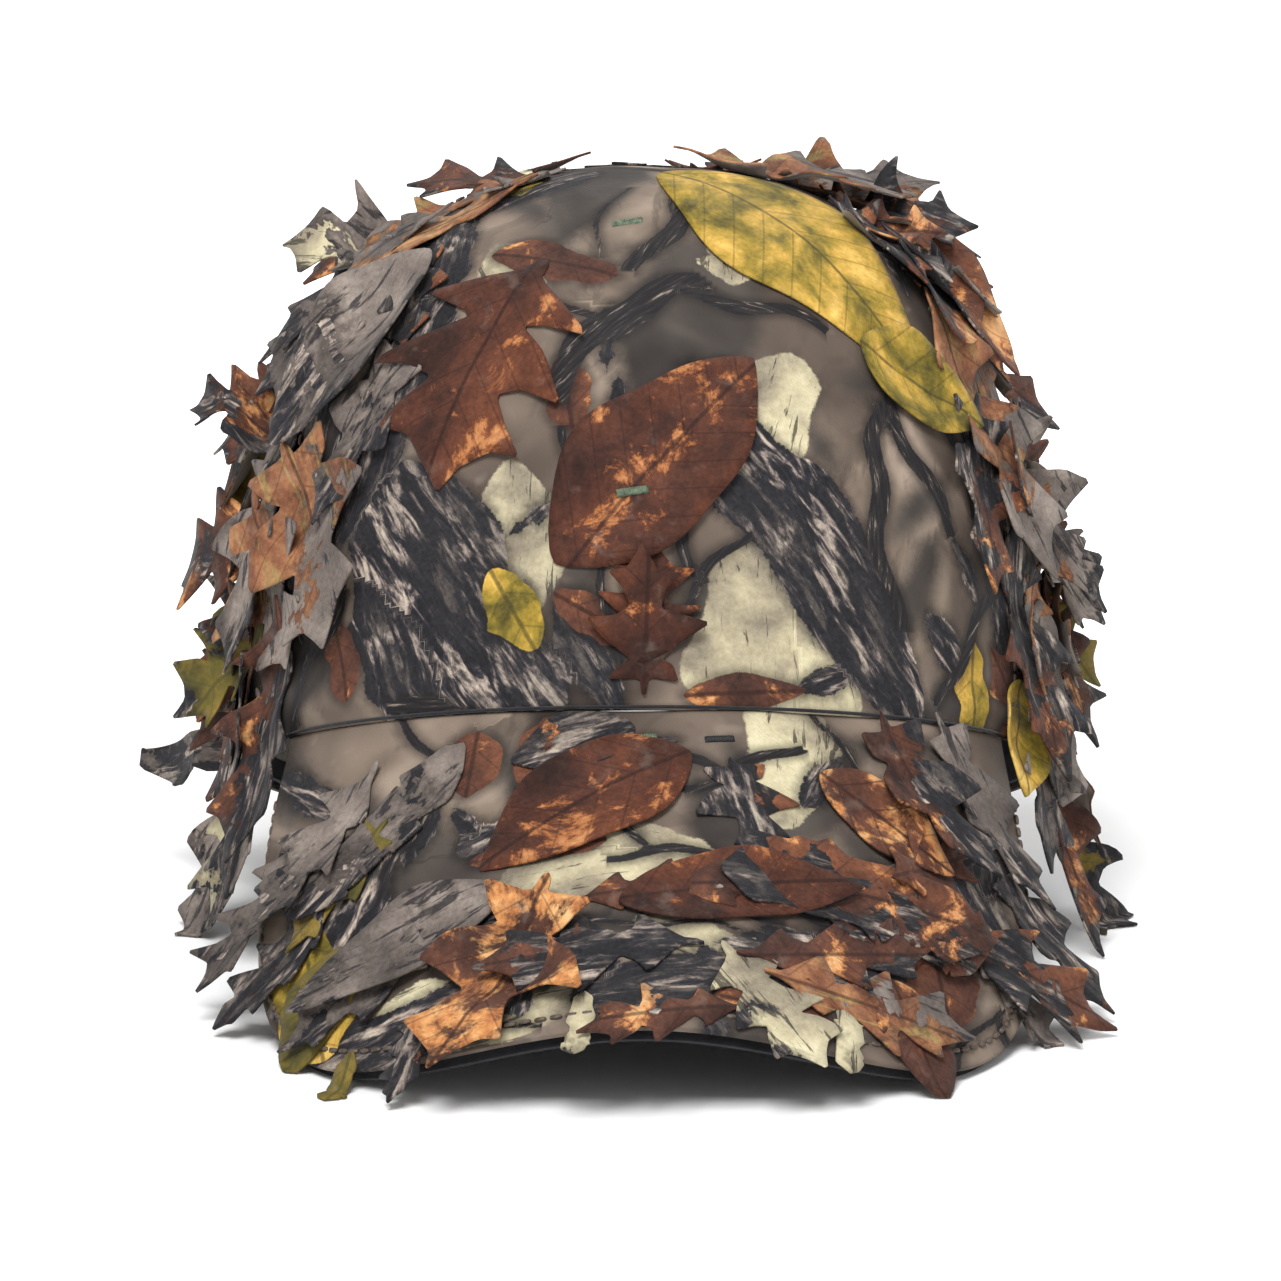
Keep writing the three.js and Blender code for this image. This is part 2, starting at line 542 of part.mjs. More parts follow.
function cutAtTable(geometry) {
  const size = 600;
  const under = solidOf(new THREE.BoxGeometry(size, size, size).translate(0, 0, -size / 2));
  const cut = solidOf(geometry).subtract(under).getMesh();
  const result = new THREE.BufferGeometry();
  result.setAttribute("position", new THREE.BufferAttribute(new Float32Array(cut.vertProperties), 3));
  result.setIndex(new THREE.BufferAttribute(new Uint32Array(cut.triVerts), 1));
  result.computeVertexNormals();
  return result;
}

const tippedBox = new THREE.Box3();
for (const mesh of cap.children) {
  mesh.updateMatrix();
  tippedBox.union(
    new THREE.Box3().setFromBufferAttribute(
      mesh.geometry.clone().applyMatrix4(mesh.matrix).rotateX(-tilt).attributes.position,
    ),
  );
}
const middle = (tippedBox.min.y + tippedBox.max.y) / 2;
for (const mesh of cap.children) placeOnTable(mesh, -middle);

export default cap;
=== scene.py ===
"""The looks of the leafy camouflage cap, built over its CAD model: printed cloth, die-cut leaves, thread."""

import json
import math

import bpy
import numpy as np
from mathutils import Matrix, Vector, geometry

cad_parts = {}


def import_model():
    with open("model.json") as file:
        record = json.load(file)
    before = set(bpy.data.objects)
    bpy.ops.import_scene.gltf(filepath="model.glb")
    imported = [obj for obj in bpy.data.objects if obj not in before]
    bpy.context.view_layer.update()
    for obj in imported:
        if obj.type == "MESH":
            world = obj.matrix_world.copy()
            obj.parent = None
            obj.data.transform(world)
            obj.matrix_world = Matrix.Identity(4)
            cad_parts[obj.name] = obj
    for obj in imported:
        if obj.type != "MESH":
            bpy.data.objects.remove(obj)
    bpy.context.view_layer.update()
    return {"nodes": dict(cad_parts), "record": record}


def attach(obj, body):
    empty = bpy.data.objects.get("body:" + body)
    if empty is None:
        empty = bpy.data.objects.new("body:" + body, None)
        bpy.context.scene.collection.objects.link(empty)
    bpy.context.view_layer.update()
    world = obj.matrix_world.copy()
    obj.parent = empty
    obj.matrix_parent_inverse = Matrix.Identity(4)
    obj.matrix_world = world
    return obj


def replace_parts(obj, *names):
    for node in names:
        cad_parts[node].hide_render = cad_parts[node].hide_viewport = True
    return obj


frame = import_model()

MM = 0.001
DEG = math.pi / 180

# The cap's own frame, in millimetres: the rim is the plane z = 0 about the origin, and the peak points to -Y.
# The record's head opening says where that frame lies when the cap stands on the table.
head = next(m for m in frame["record"]["mounts"] if m["name"] == "head_opening")
RIM_CENTRE = np.array(head["pos_m"])
TILT = math.asin(-head["axis"][1])

RIM_HALF_WIDTH, RIM_HALF_LENGTH, CROWN_DEPTH = 89.0, 98.0, 132.0
PLAN_POWER, DOME_POWER = 2.15, 2.7
SEAM_HALF_ANGLE = 53 * DEG
PEAK_REACH, PEAK_DROP, PEAK_FLARE, PEAK_END = 51.0, 68.0, 17.0, 4.0
CORNER_DROP, FRONT_SPREAD = 105.0, 50.0
OPENING_HALF, OPENING_RISE = 30 * DEG, 27 * DEG
CLOTH, GAP, SLACK = 1.2, 0.3, 0.7
BUTTON_RADIUS = 9.0
PANEL_TOP = math.atan2(CROWN_DEPTH, BUTTON_RADIUS - 1.5)


def world(points):
    """Points of the cap's frame in millimetres, in the row's frame in metres."""
    x, y, z = np.moveaxis(np.asarray(points, float), -1, 0)
    c, s = math.cos(TILT), math.sin(TILT)
    return np.stack([x, y * c + z * s, -y * s + z * c], -1) * MM + RIM_CENTRE


# ---------------------------------------------------------------- surfaces


def smooth(t):
    t = np.clip(t, 0, 1)
    return t * t * (3 - 2 * t)


def unit(v):
    return v / np.maximum(np.linalg.norm(v, axis=-1, keepdims=True), 1e-9)


def crown(theta, phi, out=0.0):
    """Points on the outside of the crown, pushed out. Below the rim the surface goes straight down."""
    theta, phi, out = np.broadcast_arrays(np.asarray(theta, float), phi, out)
    level = np.maximum(phi, 0)
    plan = np.abs(np.cos(level) * np.cos(theta) / RIM_HALF_WIDTH) ** PLAN_POWER
    plan = plan + np.abs(np.cos(level) * np.sin(theta) / RIM_HALF_LENGTH) ** PLAN_POWER
    rise = np.abs(np.sin(level) / CROWN_DEPTH) ** DOME_POWER
    r = (plan ** (DOME_POWER / PLAN_POWER) + rise) ** (-1 / DOME_POWER) + out
    z = np.where(phi < 0, r * np.tan(phi), r * np.sin(level))
    return np.stack([r * np.cos(level) * np.cos(theta), r * np.cos(level) * np.sin(theta), z], -1)


def angle_at(theta, z):
    return np.arctan2(z, np.linalg.norm(crown(theta, 0.0), axis=-1))


SEAM_END = crown(-math.pi / 2 + SEAM_HALF_ANGLE, 0.0)
PEAK_FRONT = -RIM_HALF_LENGTH - PEAK_REACH
EDGE_PULLS = np.array(
    [
        [0, PEAK_FRONT, -PEAK_DROP],
        [FRONT_SPREAD, PEAK_FRONT, -PEAK_DROP],
        [SEAM_END[0] + PEAK_FLARE, PEAK_FRONT + PEAK_REACH, -CORNER_DROP],
        SEAM_END + np.array([0, -0.6, -0.8]) * PEAK_END,
    ]
)


def peak_top(s, v):
    """Points on top of the peak: s from -1 to 1 across it, v from 0 at the seam to 1 at the edge."""
    s, v = np.broadcast_arrays(np.asarray(s, float), np.asarray(v, float))
    t = np.abs(s)[..., None]
    a, b, c, d = EDGE_PULLS
    edge = a * (1 - t) ** 3 + 3 * b * t * (1 - t) ** 2 + 3 * c * t * t * (1 - t) + d * t**3
    edge = edge * np.stack([np.where(s < 0, -1.0, 1.0), np.ones_like(s), np.ones_like(s)], -1)
    seam = crown(-math.pi / 2 + s * SEAM_HALF_ANGLE, 0.0)
    return seam + (edge - seam) * v[..., None] - np.array([0, 0, GAP])


def peak_normal(s, v):
    side = np.clip(s, -0.94, 0.94)
    across = peak_top(side + 0.004, v) - peak_top(side - 0.004, v)
    return unit(np.cross(across, peak_top(side, 0.0) - peak_top(side, 1.0)))


def on_peak(s, v, out):
    return peak_top(s, v) + peak_normal(s, v) * np.asarray(out, float)[..., None]


def peak_place(x, down):
    """s and v of the places that lie x to the right of the peak's middle and some way down from its seam."""
    low, high = np.full_like(x, -1.0), np.full_like(x, 1.0)
    for _ in range(26):
        s = (low + high) / 2
        length = np.linalg.norm(peak_top(s, 0.0) - peak_top(s, 1.0), axis=-1)
        left = peak_top(s, down / length)[..., 0] < x
        low, high = np.where(left, s, low), np.where(left, high, s)
    s = np.clip((low + high) / 2, -0.93, 0.93)
    return s, down / np.linalg.norm(peak_top(s, 0.0) - peak_top(s, 1.0), axis=-1)


def tangent_frame(theta, phi):
    tack = crown(theta, phi)
    right = unit(crown(theta + 0.01, phi) - crown(theta - 0.01, phi))
    up = unit(crown(theta, phi + 0.01) - crown(theta, phi - 0.01))
    return tack, right, up


WAVE_COUNT = 9


def waves(points, size, seed):
    """Smooth random ripples over points, about 1 high, with features of about that size."""
    rng = np.random.default_rng(seed)
    total = np.zeros(points.shape[:-1])
    for _ in range(WAVE_COUNT):
        direction = unit(rng.normal(size=3)) * (2 * math.pi / size) * rng.uniform(0.6, 1.6)
        total += np.sin(points @ direction + rng.uniform(0, 2 * math.pi))
    return total / math.sqrt(WAVE_COUNT)


def crown_waves(surface):
    """How far the crown's cloth stands out from its even shape."""
    brim = 0.9 * np.exp(-(((surface[..., 2] - 4) / 4) ** 2))
    return 0.45 * waves(surface, 46, 2) + 0.14 * waves(surface, 17, 4) + brim


def peak_waves(surface):
    return 0.25 * waves(surface, 40, 8)


def wrap_crown(at, right, up, lift):
    """Lays flat offsets from a tack on the crown, wrapping their plane down towards the middle of the cap."""
    tack, e, n = tangent_frame(at[0] * DEG, at[1] * DEG)
    flat = tack + right[..., None] * e + up[..., None] * n
    theta = np.arctan2(flat[..., 1], flat[..., 0])
    phi = np.arctan2(flat[..., 2], np.hypot(flat[..., 0], flat[..., 1]))
    return crown(theta, phi, lift + np.maximum(crown_waves(crown(theta, phi)), -0.5))


# Finding a place on the peak: how many steps, the nudge that measures a slope, and the flattest slope used.
PEAK_STEPS, NUDGE, FLATTEST = 9, 0.002, 200


def wrap_peak(at, right, up, lift):
    """Lays flat offsets from a tack on the peak, pressing their plane on to it, and past the peak's ends."""
    s0, v0 = peak_place(np.array(float(at[0])), np.array(float(at[1])))
    normal = peak_normal(s0, v0)
    n = unit(peak_top(s0, 0.0) - peak_top(s0, 1.0))
    e = unit(np.cross(n, normal))
    n = np.cross(normal, e)
    tack = peak_top(s0, v0)
    s, v = np.full(right.shape, float(s0)), np.full(right.shape, float(v0))
    for _ in range(PEAK_STEPS):
        here = peak_top(s, v)
        by_s = (peak_top(s + NUDGE, v) - here) / NUDGE
        by_v = (peak_top(s, v + NUDGE) - here) / NUDGE
        a, b, c, d = by_s @ e, by_v @ e, by_s @ n, by_v @ n
        miss_e, miss_n = right - (here - tack) @ e, up - (here - tack) @ n
        whole = a * d - b * c
        whole = np.where(np.abs(whole) < FLATTEST, np.where(whole < 0, -FLATTEST, FLATTEST), whole)
        s = np.clip(s + np.clip((d * miss_e - b * miss_n) / whole, -0.2, 0.2), -0.95, 0.95)
        v = np.clip(v + np.clip((a * miss_n - c * miss_e) / whole, -0.3, 0.3), -0.1, 1.5)
    here = peak_top(s, v)
    past_e, past_n = right - (here - tack) @ e, up - (here - tack) @ n
    lift = lift + peak_waves(here)
    return on_peak(s, v, lift) + past_e[..., None] * e + past_n[..., None] * n


# ---------------------------------------------------------------- meshes


def piece(name, points, faces, materials, body="cap", sides=None, flat=None, attributes=None):
    """A mesh object in the row's frame. sides gives faces' materials, and flat says which aren't smoothed."""
    name += "_made"
    mesh = bpy.data.meshes.new(name)
    placed = world(points)
    placed[:, 2] = np.maximum(placed[:, 2], 0)
    mesh.from_pydata(placed.tolist(), [], faces)
    for material in materials:
        mesh.materials.append(material)
    mesh.polygons.foreach_set("use_smooth", [not f for f in flat or [False] * len(faces)])
    if sides is not None:
        mesh.polygons.foreach_set("material_index", sides)
    for key, values in (attributes or {}).items():
        values = np.asarray(values, np.float32)
        kind, field = ("FLOAT_COLOR", "color") if values.shape[-1] == 4 else ("FLOAT_VECTOR", "vector")
        mesh.attributes.new(key, kind, "POINT").data.foreach_set(field, values.ravel())
    mesh.update()
    obj = bpy.data.objects.new(name, mesh)
    bpy.context.scene.collection.objects.link(obj)
    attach(obj, body)
    return obj


def dress(obj, solid):
    """The object takes the place of a solid, which is hidden."""
    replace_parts(obj, solid)


def slab(name, outer, inner, materials, body="cap", attributes=None):
    """A closed sheet between two grids of points (rows, columns, 3): rows run up, columns to the right."""
    rows, columns = outer.shape[:2]
    count = rows * columns
    points = np.concatenate([outer.reshape(-1, 3), inner.reshape(-1, 3)])
    index = np.arange(count).reshape(rows, columns)
    a, b, c, d = index[:-1, :-1], index[:-1, 1:], index[1:, 1:], index[1:, :-1]
    front = np.stack([a, b, c, d], -1).reshape(-1, 4)
    back = np.stack([a, d, c, b], -1).reshape(-1, 4) + count
    ring = np.concatenate([index[0, :-1], index[:-1, -1], index[-1, :0:-1], index[:0:-1, 0]])
    after = np.roll(ring, -1)
    rim = np.stack([after, ring, ring + count, after + count], -1)
    faces = np.concatenate([front, back, rim]).tolist()
    sides = [0] * len(front) + [min(1, len(materials) - 1)] * len(back) + [0] * len(rim)
    flat = [False] * (len(front) + len(back)) + [True] * len(rim)
    both = {k: np.concatenate([v.reshape(count, -1)] * 2) for k, v in (attributes or {}).items()}
    return piece(name, points, faces, materials, body, sides, flat, both)


NARROWEST_SHEET = 10


def sewn_sheet(outer):
    """Measures the width and length of a sheet made as a grid, by the lengths of its rows and columns, and
    does nothing more.
    """
    across, up = np.diff(outer, axis=1), np.diff(outer, axis=0)
    width = np.linalg.norm(across, axis=-1).sum(1).max()
    length = np.linalg.norm(up, axis=-1).sum(0).max()
    if min(width, length) < NARROWEST_SHEET:
        return


def grid(rows, columns):
    v, u = np.meshgrid(np.linspace(0, 1, rows + 1), np.linspace(0, 1, columns + 1), indexing="ij")
    return u, v


# ---------------------------------------------------------------- outlines of leaves and of printed shapes


# One side of each leaf with points, from its stem to its tip: how far along, and how far out.
POINTED = {
    "oak": [
        [(0.02, 0.03), (0.1, 0.05), (0.27, 0.37), (0.3, 0.2), (0.35, 0.13), (0.42, 0.24), (0.58, 0.5)],
        [(0.58, 0.28), (0.62, 0.16), (0.7, 0.26), (0.83, 0.4), (0.83, 0.2), (0.9, 0.09)],
    ],
    "maple": [
        [(0.03, 0.02), (0.1, 0.04), (0.09, 0.3), (0.2, 0.22), (0.25, 0.14), (0.34, 0.32), (0.5, 0.5)],
        [(0.53, 0.3), (0.58, 0.14), (0.7, 0.2), (0.8, 0.31), (0.84, 0.14), (0.92, 0.05)],
    ],
    "shred": [
        [(0.03, 0.1), (0.2, 0.48), (0.24, 0.26), (0.36, 0.34), (0.47, 0.46), (0.5, 0.2)],
        [(0.74, 0.42), (0.76, 0.16), (0.86, 0.2), (0.93, 0.08)],
    ],
}


def leaf_outline(kind, rng):
    """A closed outline along x from 0 to 1, about 0.5 wide on each side."""
    halves = []
    for side in (1, -1):
        if kind == "oval":
            s = np.linspace(0.02, 0.98, 20)
            uneven = 1 + 0.07 * np.sin(s * 11 + side + rng.uniform(0, 6))
            half = 0.5 * np.sin(math.pi * s**0.85) ** 0.8 * uneven
        elif kind == "strip":
            s = np.sort(rng.uniform(0.04, 0.97, 11))
            half = rng.uniform(0.28, 0.5, 11) * np.clip(8 * s * (1.05 - s), 0.2, 1)
        elif kind == "patch":
            s = np.linspace(0.03, 0.97, 8) + rng.uniform(-0.03, 0.03, 8)
            half = 0.5 * np.sin(math.pi * s) ** 0.5 * rng.uniform(0.55, 1.0, 8)
        else:
            s, half = np.array(sum(POINTED[kind], [])).T
            s = s + rng.uniform(-0.022, 0.022, len(s))
            half = half * rng.uniform(0.84, 1.1, len(s))
        halves.append([(a, side * b) for a, b in zip(s, half)])
    return np.array([(0.0, 0.0), *halves[0], (1.0, 0.0), *halves[1][::-1]])


def round_off(outline, share):
    """Cuts each corner of a closed outline, which rounds it."""
    after = np.roll(outline, -1, axis=0)
    pairs = np.stack([outline + (after - outline) * share, outline + (after - outline) * (1 - share)], 1)
    return pairs.reshape(-1, 2)


def densify(outline, step):
    result = []
    for p, q in zip(outline, np.roll(outline, -1, axis=0)):
        count = max(1, int(np.linalg.norm(q - p) / step))
        result += [p + (q - p) * i / count for i in range(count)]
    return np.array(result)


def signed_distance(x, y, outline):
    """How far points lie inside an outline, negative outside it."""
    best, inside = np.full(x.shape, 1e9), np.zeros(x.shape, bool)
    for (x0, y0), (x1, y1) in zip(outline, np.roll(outline, -1, axis=0)):
        dx, dy = x1 - x0, y1 - y0
        t = np.clip(((x - x0) * dx + (y - y0) * dy) / max(dx * dx + dy * dy, 1e-9), 0, 1)
        best = np.minimum(best, np.hypot(x - x0 - t * dx, y - y0 - t * dy))
        crosses = (y0 > y) != (y1 > y)
        inside ^= crosses & (x < x0 + dx * (y - y0) / (dy if abs(dy) > 1e-9 else 1e-9))
    return np.where(inside, best, -best)


# ---------------------------------------------------------------- the print

# Layers of the print, lowest first. Each motif is a shape at a place, with its turn, length and width.
INKS = ("mist", "murk", "pale", "bark", "brown", "gold", "twig")
CROWN_PRINT = [
    ("mist", "oval", (-91, 56), 92, 70, 34),
    ("murk", "patch", (-100, 62), 70, 44, 26),
    ("bark", "strip", (-122, 8), 296, 44, 22),
    ("bark", "patch", (-97, 6), 300, 26, 12),
    ("mist", "oak", (-93, 44), 250, 46, 30),
    ("murk", "oval", (-84, 44), 245, 56, 30),
    ("mist", "oval", (-57, 22), 80, 60, 34),
    ("mist", "patch", (-62, 14), 100, 34, 22),
    ("murk", "patch", (-139, 12), 60, 50, 30),
    ("mist", "oval", (-141, 6), 100, 30, 18),
    ("mist", "patch", (-91, 20), 80, 30, 22),
    ("bark", "patch", (-127, 37), 250, 62, 36),
    ("bark", "strip", (-114, 14), 306, 82, 38),
    ("bark", "patch", (-125, 55), 290, 34, 24),
    ("bark", "patch", (-70, 20), 307, 96, 30),
    ("bark", "patch", (-112, 64), 215, 26, 15),
    ("bark", "patch", (-45, 62), 250, 26, 18),
    ("bark", "strip", (-36, 20), 285, 60, 18),
    ("bark", "strip", (-144, 30), 265, 50, 18),
    ("pale", "patch", (-107, 17), 268, 46, 30),
    ("pale", "patch", (-73, 34), 250, 30, 25),
    ("pale", "patch", (-77, 8), 272, 44, 34),
    ("pale", "patch", (-69, 6), 290, 36, 22),
    ("pale", "shred", (-76, 54), 80, 28, 18),
    ("pale", "strip", (-110, 49), 300, 26, 15),
    ("pale", "patch", (-126, 62), 280, 18, 13),
    ("mist", "strip", (-91, 66), 266, 44, 12),
    ("brown", "patch", (-104, 51), 345, 30, 14),
    ("brown", "oval", (-78, 2), 4, 26, 8),
    ("brown", "patch", (-96, 11), 330, 20, 12),
    ("brown", "patch", (-100, 36), 100, 18, 12),
    ("brown", "patch", (-131, 8), 290, 20, 12),
    ("gold", "patch", (-106, 12), 300, 20, 15),
    ("gold", "shred", (-120, 66), 300, 20, 14),
    ("gold", "patch", (-44, 4), 270, 24, 14),
    ("twig", "line", (-94, 44), 222, 44, 8.0),
    ("twig", "line", (-87, 54), 240, 26, 5.0),
    ("twig", "line", (-77, 46), 350, 42, 3.6),
    ("twig", "line", (-60, 26), 268, 56, 5.0),
    ("twig", "line", (-44, 12), 232, 44, 3.4),
    ("twig", "line", (-137, 8), 235, 40, 3.0),
    ("twig", "line", (-52, 30), 300, 32, 4.4),
    ("twig", "line", (-86, 22), 285, 30, 3.0),
    ("twig", "line", (-84, 62), 262, 30, 1.3),
    ("twig", "line", (-97, 57), 80, 26, 1.3),
]
PEAK_PRINT = [
    ("mist", "patch", (-40, 26), 60, 60, 34),
    ("murk", "patch", (-46, 44), 30, 44, 26),
    ("mist", "patch", (30, 40), 20, 60, 30),
    ("brown", "oval", (-35, 13), 262, 17, 13),
    ("brown", "patch", (-19, 12), 80, 22, 18),
    ("bark", "patch", (-18, 20), 40, 20, 15),
    ("bark", "strip", (-26, 31), 22, 26, 12),
    ("pale", "patch", (28, 13), 268, 36, 26),
    ("pale", "strip", (-8, 44), 6, 44, 17),
    ("pale", "patch", (2, 37), 350, 24, 13),
    ("brown", "patch", (-21, 37), 6, 28, 8),
    ("bark", "strip", (-48, 78), 14, 50, 20),
    ("bark", "strip", (8, 74), 8, 46, 22),
    ("pale", "patch", (-26, 79), 12, 32, 13),
    ("bark", "strip", (38, 66), 350, 50, 18),
    ("pale", "patch", (12, 62), 340, 30, 14),
    ("pale", "patch", (-44, 72), 20, 22, 12),
    ("bark", "strip", (62, 40), 300, 40, 20),
    ("bark", "strip", (-62, 48), 250, 50, 22),
    ("pale", "strip", (-57, 56), 250, 30, 10),
    ("brown", "patch", (58, 60), 280, 30, 20),
    ("brown", "patch", (26, 78), 350, 26, 12),
    ("gold", "patch", (-66, 64), 280, 34, 22),
    ("twig", "line", (-48, 30), 250, 40, 1.8),
    ("twig", "line", (40, 10), 300, 30, 1.6),
    ("twig", "line", (-8, 58), 5, 60, 1.6),
    ("twig", "line", (44, 54), 352, 50, 2.4),
]


SCATTERED_INKS = ["mist", "mist", "murk", "pale", "bark", "bark", "brown", "brown", "gold", "twig"]


def scattered_print(seed, places):
    """One motif at each place, of a random ink, shape, turn and size."""
    rng = np.random.default_rng(seed)
    sizes = {
        "mist": (36, 70, 0.6),
        "murk": (34, 60, 0.6),
        "pale": (22, 44, 0.55),
        "bark": (40, 90, 0.36),
        "brown": (36, 58, 0.6),
        "gold": (30, 56, 0.55),
    }
    shapes = {"bark": ["strip", "patch"], "pale": ["strip", "patch"], "brown": ["oak", "maple", "oval"]}
    motifs = []
    for at in places:
        ink = str(rng.choice(SCATTERED_INKS))
        if ink == "twig":
            turn, length, width = rng.uniform(200, 340), rng.uniform(24, 50), rng.uniform(1.4, 3.4)
            motifs.append((ink, "line", at, turn, length, width))
            continue
        low, high, share = sizes[ink]
        length = rng.uniform(low, high)
        shape = str(rng.choice(shapes.get(ink, ["patch", "oval"])))
        motifs.append((ink, shape, at, rng.uniform(0, 360), length, length * share))
    return motifs


def filler_print(seed, places):
    """Small blurred or dark motifs that fill in between the others."""
    rng = np.random.default_rng(seed)
    motifs = []
    for x, y in places:
        for _ in range(3):
            ink = str(rng.choice(["mist", "murk", "murk", "bark", "twig"]))
            length = rng.uniform(16, 34)
            at = (x + rng.uniform(-12, 12), y + rng.uniform(-8, 8))
            shape = "line" if ink == "twig" else str(rng.choice(["patch", "oval", "maple"]))
            width = rng.uniform(1.8, 3.4) if ink == "twig" else length * rng.uniform(0.3, 0.55)
            if ink == "bark":
                length, width = length * 0.7, width * 0.6
            motifs.append((ink, shape, at, rng.uniform(0, 360), length, width))
    return motifs


def golden_places(count, seed):
    """Directions spread evenly over the sides and the back of the crown."""
    rng = np.random.default_rng(seed)
    turn, places = 0.0, []
    for i in range(count):
        phi = math.degrees(math.asin(0.05 + 0.9 * (i + 0.5) / count))
        turn = (turn + 137.5) % 264
        places.append((-40 + turn + rng.uniform(-6, 6), phi))
    return places


FAR_OUTSIDE = 20.0


def ink_layers(shape, motifs, offsets, seed):
    """For each ink, how far inside its nearest motif points lie, where along and across it, and its tone."""
    rng = np.random.default_rng(seed)
    empty = np.concatenate([np.full((*shape, 1), -FAR_OUTSIDE), np.zeros((*shape, 3))], -1)
    layers = {ink: empty.copy() for ink in INKS}
    for ink, kind, at, turn, length, width in motifs:
        right, up = offsets(at)
        c, s = math.cos(turn * DEG), math.sin(turn * DEG)
        along, across = right * c + up * s, up * c - right * s
        tone = rng.uniform(0, 1)
        if kind == "line":
            bend = across - 1.5 * np.sin(along * 0.25 + tone * 9) - 0.02 * along * along * (tone - 0.5)
            taper = np.clip(1 - np.abs(along) / length, 0, 1)
            depth = width * (0.3 + 0.7 * taper) / 2 - np.abs(bend)
            depth = np.where(np.abs(along) < length / 2, depth, -FAR_OUTSIDE)
        else:
            outline = round_off(leaf_outline(kind, rng), 0.18) * [length, width] - [length / 2, 0]
            near = (np.abs(along) < length * 0.5 + 6) & (np.abs(across) < width * 0.6 + 6)
            depth = np.full(shape, -FAR_OUTSIDE)
            if near.any():
                depth[near] = signed_distance(along[near], across[near], outline)
        layer = layers[ink]
        wins = depth > layer[..., 0]
        for i, value in enumerate((depth, along, across, np.full(shape, tone))):
            layer[..., i] = np.where(wins, value, layer[..., i])
    return {"ink_" + ink: layer for ink, layer in layers.items()}


def crown_offsets(points):
    """A function that gives each point's flat offsets from a tack, undoing wrap_crown."""

    def offsets(at):
        tack, e, n = tangent_frame(at[0] * DEG, at[1] * DEG)
        normal = np.cross(e, n)
        ahead = points @ normal
        scale = (tack @ normal) / np.where(ahead > 12, ahead, 12)
        flat = points * scale[..., None] - tack
        far = ahead < 25
        return np.where(far, 400, flat @ e), np.where(far, 400, flat @ n)

    return offsets


def peak_offsets(x, down):
    return lambda at: (x - at[0], at[1] - down)


CROWN_TONES, PEAK_TONES = 11, 12
FRONT_PLACES = [(-146 + 29 * i + 9 * (j % 2), 6 + 17 * j) for i in range(4) for j in range(5)]
CROWN_MOTIFS = CROWN_PRINT + scattered_print(5, golden_places(80, 3)) + filler_print(6, FRONT_PLACES)


def crown_print(points):
    """The layers of the crown's print at these points."""
    return ink_layers(points.shape[:-1], CROWN_MOTIFS, crown_offsets(points), CROWN_TONES)


# ---------------------------------------------------------------- materials


def rgb(code):
    """A linear colour from six hexadecimal digits."""
    parts = [int(code[i : i + 2], 16) / 255 for i in (0, 2, 4)]
    return (*[p / 12.92 if p <= 0.04045 else ((p + 0.055) / 1.055) ** 2.4 for p in parts], 1.0)


